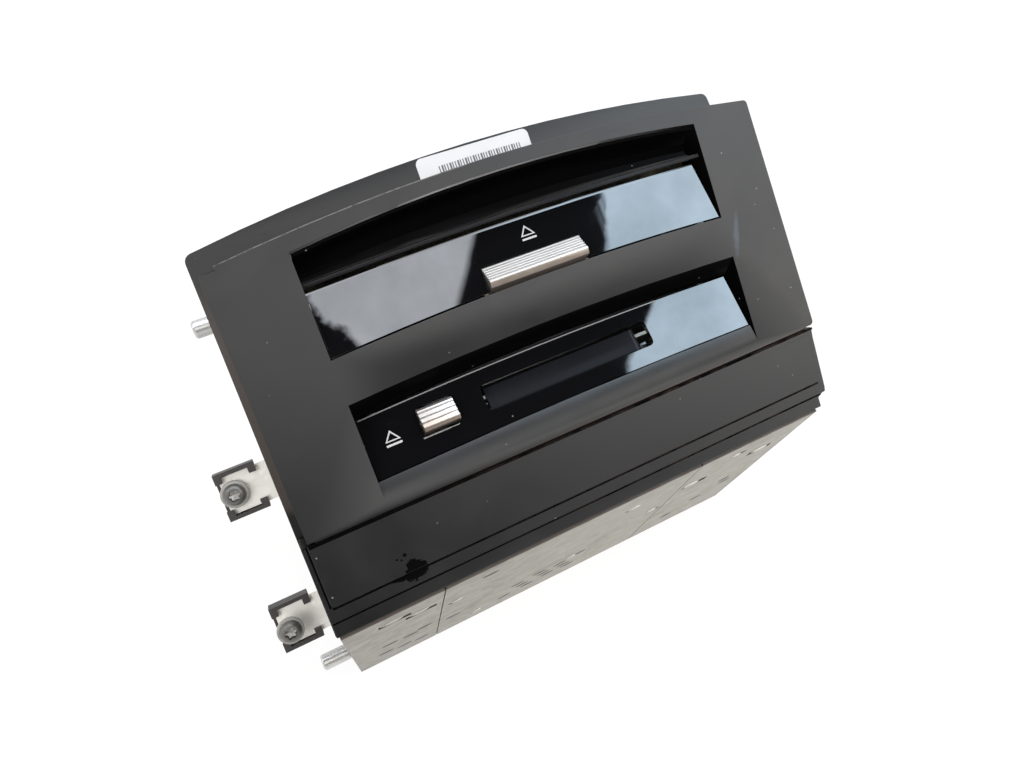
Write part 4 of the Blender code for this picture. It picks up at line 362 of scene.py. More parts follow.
def grained_plastic(name, colour, rough, grain, depth, dust, marks=None, **sockets):
    """Moulded plastic with a fine grain, handling smudges, hairlines and dust."""
    material, tree, shader, place = new_finish(name, rough, 0.0, **sockets)
    cloud = noise(tree, place, 14.0, 3.0)
    tone = blend(tree, cloud, shade(colour, 0.88), shade(colour, 1.14))
    lines = hairlines(tree, place, 1500.0, 0.012, (0.2, 0.3, 0.9), 0.012)
    tone = over(tree, tone, shade(colour, 2.6), lines, 0.12)
    wet = 0.0
    if marks:
        tone, wet = marks(tree, place, tone, colour)
    spots = specks(tree, place, 420.0, 0.13, dust * 0.16)
    tone = over(tree, tone, PALE_DUST, spots, 0.6)
    dark = specks(tree, mapped(tree, place, shift=(0.3, 0.1, 0.2)), 360.0, 0.14, dust * 0.14)
    tone = over(tree, tone, shade(colour, 0.15), dark, 0.7)
    smear = noise(tree, place, 38.0, 4.0, 0.6, 0.6)
    matt = span(tree, smear, 0.3, 0.75, rough - 0.05, rough + 0.07)
    feed(tree, shader, Base_Color=tone, Roughness=calc(tree, "MULTIPLY_ADD", wet, -0.8 * rough, matt))
    bumped(tree, shader, noise(tree, place, grain, 2.0), depth, 0.00004)
    return material


def face_marks(tree, place, tone, colour):
    """Scuffs, nicks, dust, stains, painted shade and a painted highlight of the front, in millimetres on the
    face.
    """
    spot, x, up, out = ruled(tree, place, FACE_PLACE)
    # Painted shade on the flange beside the plate: brown above, black below
    behind = span(tree, out, -14.4, -15.0)
    side = both(tree, behind, span(tree, x, -92.6, -93.4))
    tone = over(tree, tone, (0.050, 0.038, 0.032, 1), side, span(tree, up, 112.0, 96.0), 0.75)
    tone = over(tree, tone, BLACK, side, span(tree, up, 39.0, 35.5))
    # Groove between plate and cover: painted shade, black on the left, browning with dust toward the right
    groove_shade_and_dust = blend(tree, span(tree, x, -60.0, 45.0), (0.003, 0.003, 0.003, 1), (0.040, 0.029, 0.024, 1))
    tone = over(tree, tone, groove_shade_and_dust, inside(tree, up, 28.8, 29.9, 0.05))
    # Painted shade: a black strip down the cover's left side
    tone = over(tree, tone, BLACK, span(tree, x, -93.6, -94.4), span(tree, up, 35.0, 33.0), 0.85)
    # Painted shade: the cover darker toward its left
    tone = over(tree, tone, BLACK, span(tree, up, 31.0, 28.5), span(tree, x, -30.0, -85.0), 0.75)
    # Scuffed flange
    scuff = noise(tree, mapped(tree, spot, (0.16, 0.55, 0.3), (0, 0, 0.35)), 1.0, 6.0, 0.72)
    patchy = span(tree, noise(tree, spot, 0.05, 2.0), 0.5, 0.62)
    tone = over(tree, tone, shade(colour, 0.2), behind, span(tree, up, 106.0, 110.0),
                span(tree, scuff, 0.57, 0.66), patchy, 0.6)
    # Painted highlight along the front edge of the plate's arched top, broken by nicks
    bow = calc(tree, "MULTIPLY_ADD", both(tree, x, x), PLATE_RISE / PLATE_HALF ** 2, up)
    rim = both(tree, inside(tree, bow, PLATE_TOP - 0.3, PLATE_TOP + 0.2, 0.1), span(tree, out, -1.1, -0.7))
    edge_highlight = both(tree, rim, inside(tree, x, -89.7, -12.0, 2.0),
                span(tree, noise(tree, spot, 0.35, 3.0, 0.7), 0.38, 0.5))
    tone = over(tree, tone, (0.16, 0.155, 0.145, 1), edge_highlight, 0.7)
    # Painted shade at the rim's left end
    tone = over(tree, tone, BLACK, rim, span(tree, x, -89.5, -89.9))
    # Black stain low on the left, with its tail and the smear above it
    blobs = (((-67.9, 9.0), (4.0, 2.5), 0.25), ((-68.3, 11.2), (1.9, 1.8), 0.0),
             ((-72.4, 8.4), (4.2, 0.9), -0.16), ((-78.0, 9.1), (4.4, 0.3), -0.03),
             ((-69.6, 15.0), (0.6, 0.5), 0.0), ((-72.2, 14.6), (0.35, 0.3), 0.0),
             ((-70.9, 13.9), (0.3, 0.3), 0.0))
    stain = either(tree, *(patch(tree, spot, *blob, 0.4, 0.9, 0.08) for blob in blobs))
    smear = both(tree, patch(tree, spot, (-68.6, 19.6), (2.7, 8.6), 0.1, 0.35, 0.3, 0.6),
                 span(tree, noise(tree, spot, 0.35, 4.0, 0.7), 0.3, 0.62), 0.7)
    tone = over(tree, tone, BLACK, either(tree, stain, smear))
    # Fine scratches near the top right and on the cover
    for middle, half, turn, depth in (
            ((73.0, 112.2), (2.2, 0.16), -0.25, 0.8), ((82.8, 110.2), (2.4, 0.16), -0.3, 0.7),
            ((85.0, 26.7), (6.4, 0.34), 0.0, 0.7), ((76.0, 26.3), (1.6, 0.22), 0.1, 0.6),
            ((29.5, 73.3), (5.0, 0.5), -0.05, 0.35), ((89.5, 37.4), (3.0, 0.3), 0.2, 0.4),
            ((40.5, 113.8), (3.2, 0.4), -0.1, 0.6)):
        scratch = patch(tree, spot, middle, half, turn, 0.6, 1.1, 0.2)
        tone = over(tree, tone, shade(colour, 0.22), scratch, depth)
    # Bluish smudge beside the bar
    smudge = patch(tree, spot, (72.6, 68.6), (0.9, 6.2), -0.3, 0.5, 0.4, 0.5)
    return over(tree, tone, (0.10, 0.13, 0.17, 1), smudge, 0.3), stain


def door_marks(tree, place, tone, colour):
    """Two pale lines near the right end of the card door: painted highlights in place of two thin ribs."""
    x = ruled(tree, place, CARD_PLACE)[1]
    lines = either(tree, inside(tree, x, 27.4, 27.8, 0.05), inside(tree, x, 29.0, 29.4, 0.05))
    return over(tree, tone, (0.045, 0.045, 0.05, 1), lines), 0.0


def seam_marks(tree, place, tone, colour):
    """Painted shade in the cover's seams, browned with dust toward the right."""
    spot, x = ruled(tree, place, FACE_PLACE)[:2]
    patchy = span(tree, noise(tree, spot, 0.12, 5.0, 0.7), 0.42, 0.6)
    return over(tree, tone, (0.030, 0.021, 0.017, 1), span(tree, x, -75.0, 30.0), patchy, 0.6), 0.0


def polished(name, colour, rough, dust):
    """Black gloss moulding with faint swirls, smudges and dust."""
    material, tree, shader, place = new_finish(name, rough, 0.0, IOR=1.9)
    smear = span(tree, noise(tree, place, 45.0, 4.0, 0.6, 0.5), 0.5, 0.8)
    spots = specks(tree, place, 330.0, 0.12, dust * 0.14)
    tone = over(tree, shade(colour, 1.0), PALE_DUST, spots, 0.5)
    lines = hairlines(tree, place, 1200.0, 0.01, (0.1, 0.2, 0.3), 0.01)
    tone = over(tree, tone, (0.2, 0.2, 0.2, 1), lines, 0.03)
    feed(tree, shader, Base_Color=tone, Roughness=span(tree, smear, 0.0, 1.0, rough, rough + 0.035))
    bumped(tree, shader, noise(tree, place, 110.0, 1.0), 0.05, 0.00005)
    return material


def painted_silver(name, colour):
    """Satin silver paint, with painted shade and a painted dark reflection that brown it toward the underside
    of the bar and the button.
    """
    material, tree, shader, place = new_finish(name, 0.3, 0.85)
    flakes = noise(tree, place, 5200.0, 1.0)
    tone = blend(tree, span(tree, flakes, 0.3, 0.7), shade(colour, 0.94), shade(colour, 1.06))
    # Painted shade and reflection: brown, then dark brown, toward the underside of the bar and of the button
    underside_shades = []
    for frame_place, low, high in ((FLAP_PLACE, 2.6, 5.0), (CARD_PLACE, 7.4, 11.6)):
        spot, x, up, out = ruled(tree, place, frame_place)
        soft = calc(tree, "ADD", up, span(tree, noise(tree, spot, 0.4, 3.0), 0, 1, -0.25, 0.25))
        near = both(tree, span(tree, out, -9.0, -8.0), span(tree, up, -4.0, -3.0), span(tree, up, 18.0, 17.0))
        underside_shades.append(both(tree, near, span(tree, soft, high, low)))
    first, second = (span(tree, brown, 0.0, 0.55) for brown in underside_shades)
    tone = over(tree, tone, (0.44, 0.37, 0.31, 1), either(tree, first, second))
    deep = either(tree, span(tree, underside_shades[0], 0.4, 0.95), span(tree, underside_shades[1], 0.55, 1.0))
    deep_shade_tone = blend(tree, span(tree, underside_shades[0], 0.1, 0.3), (0.16, 0.125, 0.105, 1), (0.36, 0.30, 0.26, 1))
    tone = over(tree, tone, deep_shade_tone, deep)
    # Ribbed field on top of the bar, and the smooth rim around it
    spot, x, up, out = ruled(tree, place, FLAP_PLACE)
    field = both(tree, inside(tree, x, -15.9, 17.3, 0.15), span(tree, up, 9.0, 8.7))
    on_top = both(tree, span(tree, up, 4.9, 5.2), span(tree, up, 12.0, 11.9),
                  inside(tree, x, -19.0, 20.4, 0.1))
    tone = over(tree, tone, (0.36, 0.34, 0.315, 1), on_top, calc(tree, "SUBTRACT", 1.0, field), 0.75)
    feed(tree, shader, Base_Color=tone,
         Roughness=span(tree, noise(tree, place, 220.0, 3.0), 0.3, 0.7, 0.27, 0.36))
    bumped(tree, shader, flakes, 0.05, 0.00003)
    return material


def satin_metal(name, colour, rough, metal, flake, streak=0.0):
    """Painted or bare metal with fine flakes or drawn streaks."""
    material, tree, shader, place = new_finish(name, rough, metal)
    flakes = noise(tree, place, 5200.0, 1.0)
    drawn = noise(tree, mapped(tree, place, (60.0, 2600.0, 2600.0)), 1.0, 2.0)
    mixed = blend(tree, streak, flakes, drawn) if streak else flakes
    tone = blend(tree, span(tree, mixed, 0.3, 0.7), shade(colour, 1 - flake), shade(colour, 1 + flake))
    cloud = noise(tree, place, 90.0, 3.0)
    tone = over(tree, tone, shade(colour, 0.6), span(tree, cloud, 0.55, 0.8, 0.0, 0.25))
    feed(tree, shader, Base_Color=tone,
         Roughness=span(tree, noise(tree, place, 220.0, 3.0), 0.3, 0.7, rough - 0.05, rough + 0.07))
    bumped(tree, shader, mixed, 0.06 + streak * 0.1, 0.00003)
    return material


def zinc_sheet(name, colour, rough=0.42, shade_and_grime=1.0, metal=0.8):
    """Galvanised sheet with faint spangle, rolling streaks, scratches, stains and painted shade toward the
    left.
    """
    material, tree, shader, place = new_finish(name, rough, metal)
    cells = add(tree, "ShaderNodeTexVoronoi", {"Vector": place, "Scale": 260.0, "Randomness": 1.0})
    spangle = add(tree, "ShaderNodeSeparateColor", {"Color": cells.outputs["Color"]}).outputs["Red"]
    tone = blend(tree, spangle, shade(colour, 0.95), shade(colour, 1.05))
    rolled = noise(tree, mapped(tree, place, (18.0, 700.0, 700.0)), 1.0, 3.0)
    tone = over(tree, tone, shade(colour, 0.82), span(tree, rolled, 0.35, 0.7, 0.0, 0.3))
    stain = span(tree, noise(tree, place, 34.0, 5.0, 0.65, 0.8), 0.5, 0.72, 0.0, 0.6 * shade_and_grime)
    tone = over(tree, tone, (0.19, 0.16, 0.125, 1), stain)
    # Painted shade toward the left, stained along the front and browned on its edge
    spot, x, back, up = ruled(tree, place, UNIT_PLACE)
    tone = over(tree, tone, shade(colour, 0.55), span(tree, x, 0.0, CASE_LEFT, 0.0, 0.5), shade_and_grime)
    ragged = calc(tree, "MULTIPLY_ADD", noise(tree, spot, 0.25, 4.0), 7.0, back)
    low = span(tree, up, 4.0, 2.0)
    tone = over(tree, tone, (0.17, 0.13, 0.11, 1), span(tree, ragged, 9.0, 3.0), low, 0.6 * shade_and_grime)
    tone = over(tree, tone, (0.09, 0.065, 0.052, 1), span(tree, back, 3.0, 2.7), low, shade_and_grime)
    lines = hairlines(tree, place, 900.0, 0.02, (0.4, 0.1, 1.1), 0.02)
    tone = over(tree, tone, shade(colour, 1.45), lines, 0.5)
    pits = specks(tree, place, 430.0, 0.2, 0.035 * shade_and_grime)
    tone = over(tree, tone, (0.07, 0.06, 0.055, 1), pits, 0.75)
    feed(tree, shader, Base_Color=tone, Roughness=span(tree, spangle, 0.0, 1.0, rough - 0.06, rough + 0.08))
    bumped(tree, shader, rolled, 0.1, 0.00004)
    return material


def circuit_board(name, colour):
    """Solder mask with routed tracks and rows of plated holes."""
    material, tree, shader, place = new_finish(name, 0.38, 0.0)
    tracks = add(tree, "ShaderNodeTexVoronoi", {"Vector": place, "Scale": 190.0, "Randomness": 0.75},
                 distance="CHEBYCHEV", feature="F2").outputs["Distance"]
    bands = calc(tree, "PINGPONG", calc(tree, "MULTIPLY", tracks, 6.0), 0.5)
    copper = span(tree, bands, 0.25, 0.3)
    tone = blend(tree, copper, shade(colour, 0.75), shade(colour, 1.5))
    holes = add(tree, "ShaderNodeTexVoronoi", {"Vector": place, "Scale": 390.0, "Randomness": 0.0})
    pick = add(tree, "ShaderNodeSeparateColor", {"Color": holes.outputs["Color"]}).outputs["Green"]
    ring = both(tree, span(tree, holes.outputs["Distance"], 0.3, 0.26),
                calc(tree, "LESS_THAN", pick, 0.35))
    tone = blend(tree, ring, tone, (0.5, 0.49, 0.44, 1))
    feed(tree, shader, Base_Color=tone, Metallic=calc(tree, "MULTIPLY", ring, 0.8))
    bumped(tree, shader, copper, 0.15, 0.00003)
    return material


def rubber(name, colour):
    """Matt rubber with a ground surface."""
    material, tree, shader, place = new_finish(name, 0.8, 0.0)
    ground = noise(tree, mapped(tree, place, (2400.0, 400.0, 400.0)), 1.0, 2.0)
    feed(tree, shader, Base_Color=blend(tree, ground, shade(colour, 0.8), shade(colour, 1.25)))
    bumped(tree, shader, ground, 0.3, 0.00005)
    return material


def paper(name):
    """White label paper with a plain row of regular bars."""
    material, tree, shader, place = new_finish(name, 0.55, 0.0)
    spot, x, up, out = ruled(tree, place, FACE_PLACE)
    thin, wide = (calc(tree, "LESS_THAN", calc(tree, "FRACT", calc(tree, "MULTIPLY", x, 1.0 / pitch)), share)
                  for pitch, share in ((0.92, 0.45), (2.76, 0.24)))
    bow = calc(tree, "MULTIPLY_ADD", both(tree, x, x), 0.0008, up)
    row = both(tree, either(tree, thin, wide), inside(tree, x, -15.2, 14.2, 0.02),
               inside(tree, bow, 118.3, 121.5, 0.05))
    cloud = noise(tree, place, 60.0, 3.0)
    sheet = blend(tree, cloud, (0.52, 0.52, 0.53, 1), (0.62, 0.62, 0.63, 1))
    feed(tree, shader, Base_Color=over(tree, sheet, (0.05, 0.045, 0.05, 1), row, 0.9))
    bumped(tree, shader, noise(tree, place, 1800.0, 2.0), 0.1, 0.00002)
    return material


def make_finishes():
    """All finishes of the unit by name."""
    tones = settings()[0]
    # Name, colour, roughness, grain, depth, dust and marks, then the sockets that differ
    plastics = (
        ("bezel_plastic", tones.plastic, 0.37, 2600.0, 0.3, tones.dust * 2.0, face_marks, {}),
        # Near-black plastic that reflects almost nothing: painted shade on the opening walls, the recess trim
        # and the groove wall
        ("recess_black", SHADOW, 0.32, 1800.0, 0.08, 0.25, None, {"IOR": 1.06}),
        # Dark films in the cover's seams: painted shade, browned with dust
        ("seam_dust", SHADOW, 0.7, 1800.0, 0.1, 0.4, seam_marks, {"IOR": 1.05}),
        ("rail_grey", (0.010, 0.010, 0.011), 0.28, 1800.0, 0.1, 0.1, None, {"IOR": 1.2}),
        # Pale plastic of the painted highlights on the card panel's top edge and below the button
        ("pale_edge", (0.20, 0.195, 0.195), 0.3, 1800.0, 0.1, 0.1, None, {}),
        ("door_satin", (0.0085, 0.0090, 0.0110), 0.2, 1800.0, 0.06, 0.05, door_marks, {"IOR": 1.12}),
        ("clip_black", (0.036, 0.032, 0.031), 0.5, 1500.0, 0.3, 0.1, None, {}),
        ("socket_black", (0.02, 0.02, 0.021), 0.5, 1800.0, 0.2, 0.1, None, {}),
        ("tray_grey", (0.10, 0.10, 0.105), 0.48, 2000.0, 0.2, 0.05, None, {}),
        ("gear_white", (0.62, 0.61, 0.56), 0.42, 1800.0, 0.15, 0.02, None, {}),
        ("mark_ink", (0.42, 0.42, 0.42), 0.45, 1200.0, 0.05, 0.0, None, {}))
    # Maker, name, colour and what the maker takes after them
    others = (
        (polished, "gloss_black", tones.lacquer, 0.02, tones.dust),
        (polished, "lens_glass", (0.02, 0.05, 0.12), 0.03, 0.0),
        (painted_silver, "silver_paint", tones.silver),
        (zinc_sheet, "galvanised", tones.zinc),
        (zinc_sheet, "bracket_zinc", (0.84, 0.82, 0.76), 0.5, 0.15, 0.1),
        (zinc_sheet, "slot_shade", (0.05, 0.045, 0.04), 0.6, 0.3, 0.2),
        # Pale zinc of the painted highlights on the slot lips
        (zinc_sheet, "lip_zinc", (0.58, 0.56, 0.52), 0.35, 0.3, 0.9),
        (satin_metal, "bright_steel", tones.steel, 0.27, 1.0, 0.06, 0.5),
        (satin_metal, "pin_steel", (0.60, 0.595, 0.58), 0.38, 0.85, 0.0),
        # One steel in three tones: the rim painted lit, the dome painted in shade and the socket painted dark
        # with shade
        (satin_metal, "screw_steel", (0.14, 0.135, 0.125), 0.42, 0.6, 0.12),
        (satin_metal, "screw_rim", (0.42, 0.41, 0.385), 0.36, 0.5, 0.1),
        (satin_metal, "screw_socket", (0.035, 0.033, 0.03), 0.5, 0.2, 0.1),
        (satin_metal, "contact_tin", (0.62, 0.58, 0.46), 0.25, 1.0, 0.05),
        (circuit_board, "board_green", tones.board),
        (rubber, "rubber", (0.025, 0.025, 0.026)),
        (paper, "label_paper"))
    made = {name: grained_plastic(name, *values, **sockets) for name, *values, sockets in plastics}
    made.update({name: maker(name, *values) for maker, name, *values in others})
    return made


finishes = {}


def finish(name):
    """Finish of a name. The first call makes them all."""
    if not finishes:
        finishes.update(make_finishes())
    return finishes[name]


# Shape helpers

def piece_from(name, shape, body, looks, angle=35):
    """Makes a piece of a shape, with its finishes, and lets it ride on a body."""
    mesh = bpy.data.meshes.new(name)
    shape.to_mesh(mesh)
    shape.free()
    for look in looks:
        mesh.materials.append(finish(look))
    mesh.shade_smooth()
    mesh.set_sharp_from_angle(angle=math.radians(angle))
    piece = bpy.data.objects.new(name, mesh)
    bpy.context.scene.collection.objects.link(piece)
    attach(piece, body)
    return piece


def placed(name, shape, place, slot, body, *looks):
    """Turns a shape in its own place into a piece that rides on a body."""
    bmesh.ops.transform(shape, matrix=place, verts=shape.verts)
    bmesh.ops.recalc_face_normals(shape, faces=shape.faces)
    return piece_from(name, shape, body, looks or (slot,))


def dressed(node, slot, soft=0.0, look=None, second=None, chosen=None):
    """Stands a merged, soft-edged copy of a solid in the solid's place."""
    shape = bmesh.new()
    shape.from_mesh(nodes[node].data)
    bmesh.ops.remove_doubles(shape, verts=shape.verts, dist=0.002 * MM)
    bmesh.ops.dissolve_limit(shape, angle_limit=math.radians(0.6), verts=shape.verts, edges=shape.edges)
    for face in shape.faces:
        face.material_index = int(bool(second) and chosen(face))
    looks = [look or slot, second] if second else [look or slot]
    piece = piece_from(node + "_dressed", shape, body_of[node], looks, 30)
    if soft:
        made = piece.modifiers.new("soft_edges", "BEVEL")
        made.width = soft
        made.segments = 2
        made.limit_method = "ANGLE"
        made.angle_limit = math.radians(30)
        made.harden_normals = True
    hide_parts(node)
    return piece


def dress_all(*group):
    """Dresses nodes, each given by its name, slot, kind of edge and any other look."""
    form = settings()[1]
    widths = {"soft": form.soft, "sheet": form.sheet_soft, "fine": form.soft * 0.5, "none": 0.0}
    for node, slot, edge, *look in group:
        dressed(node, slot, widths[edge], *look)


def opening_wall(face):
    """True on the bezel's left side and on the walls of the two openings, which get painted shade."""
    spot = (FACE_BACK @ face.calc_center_median()) / MM
    normal = FACE_BACK.to_3x3() @ face.normal
    opening = abs(spot.x) < OPENING_HALF and (31.0 < spot.y < 67.0 or 74.0 < spot.y < 112.0)
    deep = -14.0 < spot.z < -3.0 or (-14.0 < spot.z < -0.5 and abs(normal.z) < 0.5)
    return normal.x < -0.75 or (opening and deep)


def groove_wall(face):
    """True on the cover's top wall, which faces the groove and gets painted shade."""
    spot = (FACE_BACK @ face.calc_center_median()) / MM
    return spot.y > 28.0 and (FACE_BACK.to_3x3() @ face.normal).y > 0.7


def slot_wall(face):
    """True on the walls of the slots in the underside."""
    spot = (UNIT_BACK @ face.calc_center_median()) / MM
    upright = abs((UNIT_BACK.to_3x3() @ face.normal).z) < 0.5
    framed = CASE_LEFT + 2 < spot.x < CASE_RIGHT - 2 and 2.0 < spot.y < CASE_DEEP - 2
    seam = min(abs(spot.x - SEAM_LEFT), abs(spot.x - SEAM_RIGHT)) < 1.0
    return upright and framed and spot.z < 1.5 and not seam


def shaft_end(face):
    """True on the bare ends of the roller's shaft."""
    low, high = (Vector(corner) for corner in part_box("disc_roller"))
    spot = face.calc_center_median() - (low + high) / 2
    return math.hypot(spot.y, spot.z) < 1.9 * MM


def turned(rings, sides, looks_from=(), closed=False):
    """Turned solid from rings of radius, height and depth of six lobes in millimetres."""
    shape = bmesh.new()
    loops = []
    for radius, height, *lobe in rings:
        ring = bmesh.ops.create_circle(shape, segments=sides, radius=radius * MM,
                                       matrix=Matrix.Translation((0, 0, height * MM)))["verts"]
        if lobe:
            for vert in ring:
                vert.co.xy *= 1 + lobe[0] * math.cos(6 * math.atan2(vert.co.y, vert.co.x))
        loops.append(ring)
    edges = [list({edge for vert in ring for edge in vert.link_edges}) for ring in loops]
    pairs = list(zip(edges, edges[1:]))
    if closed:
        pairs.append((edges[-1], edges[0]))
    for number, (first, second) in enumerate(pairs):
        made = bmesh.ops.bridge_loops(shape, edges=first + second)["faces"]
        for face in made:
            face.material_index = sum(number >= first_ring for first_ring in looks_from)
    if not closed:
        shape.faces.new(loops[0])
        shape.faces.new(loops[-1]).material_index = len(looks_from)
    return shape


def flat_place(x, y, z, wide, high):
    """Place and size of a flat form, in millimetres."""
    return Matrix.Translation(mm(x, y, z)) @ Matrix.Diagonal((wide * MM, high * MM, 1, 1))


def sheet(shape, place, parts=1):
    """Adds a flat sheet of one unit, moved and sized by its place."""
    bmesh.ops.create_grid(shape, x_segments=parts, y_segments=1, size=0.5, matrix=place)


def film(shape, thick):
    """Gives a flat sheet its thickness."""
    grown = bmesh.ops.extrude_face_region(shape, geom=shape.faces[:])
    moved = [item for item in grown["geom"] if isinstance(item, bmesh.types.BMVert)]
    bmesh.ops.translate(shape, vec=(0, 0, thick), verts=moved)
    return shape


class DressOperator:
    """Shared options of the operators."""

    bl_options = {"REGISTER", "UNDO"}


class OBJECT_OT_changer_front(DressOperator, bpy.types.Operator):
    """Finish the front moulding, the lower cover, the recess trim and its rail."""

    bl_idname = "object.changer_front"
    bl_label = "Front mouldings"

    def execute(self, context):
        form = settings()[1]
        # The opening walls, the recess trim and the cover's groove wall get the near-black look of painted
        # shade
        face = dressed("bezel", "bezel_plastic", form.soft, None, "recess_black", opening_wall)
        trim = dressed("recess_trim", "gloss_black", 0.0, "recess_black")
        rail = dressed("flap_rail", "rail_grey", form.soft / 2)
        for piece in (face, trim, rail):
            piece.visible_glossy = False
        dressed("lower_cover", "bezel_plastic", form.soft, None, "recess_black", groove_wall)
        # Thin dark films laid in the cover's seams: painted shade of the gaps
        seams = bmesh.new()
        for left, low, right, high, out in COVER_SEAM_SHADES:
            sheet(seams, flat_place((left + right) / 2, (low + high) / 2, out, right - left, high - low))
        film(seams, form.print_thick / 2)
        placed("cover_seams", seams, FACE_PLACE, "bezel_plastic", "chassis", "seam_dust")
        return {"FINISHED"}


class OBJECT_OT_changer_flap(DressOperator, bpy.types.Operator):
    """Finish the flap, its silver bar, its rod and its spring."""

    bl_idname = "object.changer_flap"
    bl_label = "Flap and bar"

    def execute(self, context):
        dress_all(("flap", "gloss_black", "fine"), ("flap_bar", "silver_paint", "sheet"),
                  ("flap_rod", "bright_steel", "none"), ("flap_spring", "bright_steel", "none"))
        return {"FINISHED"}


class OBJECT_OT_changer_card_bay(DressOperator, bpy.types.Operator):
    """Finish the card panel, its door, its button and the parts behind them."""

    bl_idname = "object.changer_card_bay"
    bl_label = "Card bay"

    def execute(self, context):
        dress_all(("card_panel", "gloss_black", "fine"), ("card_door", "clip_black", "fine", "door_satin"),
                  ("card_button", "silver_paint", "sheet"), ("card_cage", "galvanised", "none"),
                  ("card_rod", "bright_steel", "none"), ("card_lever", "bright_steel", "none"),
                  ("front_board", "board_green", "none"))
        spring = dressed("card_spring", "bright_steel")
        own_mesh(spring)
        self.add_top_highlight()
        self.add_highlight_sill()
        return {"FINISHED"}

    def add_top_highlight(self):
        """Painted highlight: pale strip along the panel's arched top edge, a little proud of it."""
        left, right, high, rise, wide, out = CARD_TOP_HIGHLIGHT
        shape = bmesh.new()
        sheet(shape, flat_place((left + right) / 2, 0, 0, right - left, wide), 28)
        for vert in shape.verts:
            bow = rise * (1 - (vert.co.x / (PANEL_HALF * MM)) ** 2)
            vert.co.y += (high + bow * math.cos(LEAN_ANGLE)) * MM
            vert.co.z += (out + bow * math.sin(LEAN_ANGLE)) * MM
        film(shape, 0.12 * MM)
        placed("card_panel_edge", shape, CARD_PLACE, "gloss_black", "chassis", "pale_edge")

    def add_highlight_sill(self):
        """Painted highlight: pale sill below the button."""
        shape = bmesh.new()
        low, high = mm(-51.3, 6.3, -0.05), mm(-39.2, 6.78, 0.22)
        place = Matrix.Translation((low + high) / 2) @ Matrix.Diagonal((*(high - low), 1.0))
        bmesh.ops.create_cube(shape, size=1.0, matrix=place)
        bmesh.ops.bevel(shape, geom=shape.edges[:], offset=0.1 * MM, offset_type="OFFSET", segments=2,
                        profile=0.5, affect="EDGES", material=-1)
        placed("button_sill", shape, CARD_PLACE, "gloss_black", "chassis", "pale_edge")


class OBJECT_OT_changer_case(DressOperator, bpy.types.Operator):
    """Finish the folded sheet case and its deck, and fit its small screws."""

    bl_idname = "object.changer_case"
    bl_label = "Case"

    def execute(self, context):
        form = settings()[1]
        for node in ("chassis_left", "chassis_right", "chassis_bottom"):
            # The slot walls get the dark slot_shade look: painted shade
            dressed(node, "galvanised", form.sheet_soft, None, "slot_shade", slot_wall)
        dress_all(("top_cover", "galvanised", "sheet"), ("rear_panel", "galvanised", "sheet"),
                  ("deck_plate", "galvanised", "none"))
        self.add_slots(form)
        self.add_screws(form)
        return {"FINISHED"}

    def add_slots(self, form):
        """Bright lips with painted highlights, and dark films of painted shade over the lanced slots."""
        shape = bmesh.new()
        # Bright lips: painted highlights
        for x, back, long in LIP_HIGHLIGHTS:
            spot = Matrix.Translation(mm(x, back, -0.02)) @ Matrix.Diagonal((*mm(long, 1.1, 0.9), 1))
            bmesh.ops.create_uvsphere(shape, u_segments=16, v_segments=8, radius=0.5, matrix=spot)
        placed("slot_lips", shape, UNIT_PLACE, "galvanised", "chassis", "lip_zinc")
        # Dark films over the slots: painted shade
        shape = bmesh.new()
        for left, right, places in SLOTS:
            for across, along in places:
                spot = flat_place(left + (right - left) * across, CASE_DEEP * along, -0.015, *SLOT_SHADOW_SIZE)
                bmesh.ops.create_circle(shape, cap_ends=True, segments=10, radius=0.5, matrix=spot)
        film(shape, -form.print_thick / 6)
        placed("slot_edges", shape, UNIT_PLACE, "galvanised", "chassis", "slot_shade")

    def add_screws(self, form):
        """Small domed screws on the case's sides."""
        radius = form.head / MM
        rings = ((radius * 0.96, -0.02), (radius, 0.25), (radius * 0.93, 0.75), (radius * 0.7, 1.15),
                 (radius * 0.46, 1.27), (radius * 0.40, 1.25, 0.13), (radius * 0.38, 0.4, 0.13))
        for side, x, turn in (("left", CASE_LEFT, -90), ("right", CASE_RIGHT, 90)):
            outward = Matrix.Rotation(math.radians(turn), 4, "Y")
            for number, (back, up) in enumerate(CASE_SCREWS, 1):
                spot = UNIT_PLACE @ Matrix.Translation(mm(x, back, up)) @ outward
                # Rim painted lit, dome painted in shade, socket painted dark with shade
                placed("case_screw_%s_%d" % (side, number), turned(rings, 36, (3, 5)), spot,
                       "screw_steel", "chassis", "screw_rim", "screw_steel", "screw_socket")


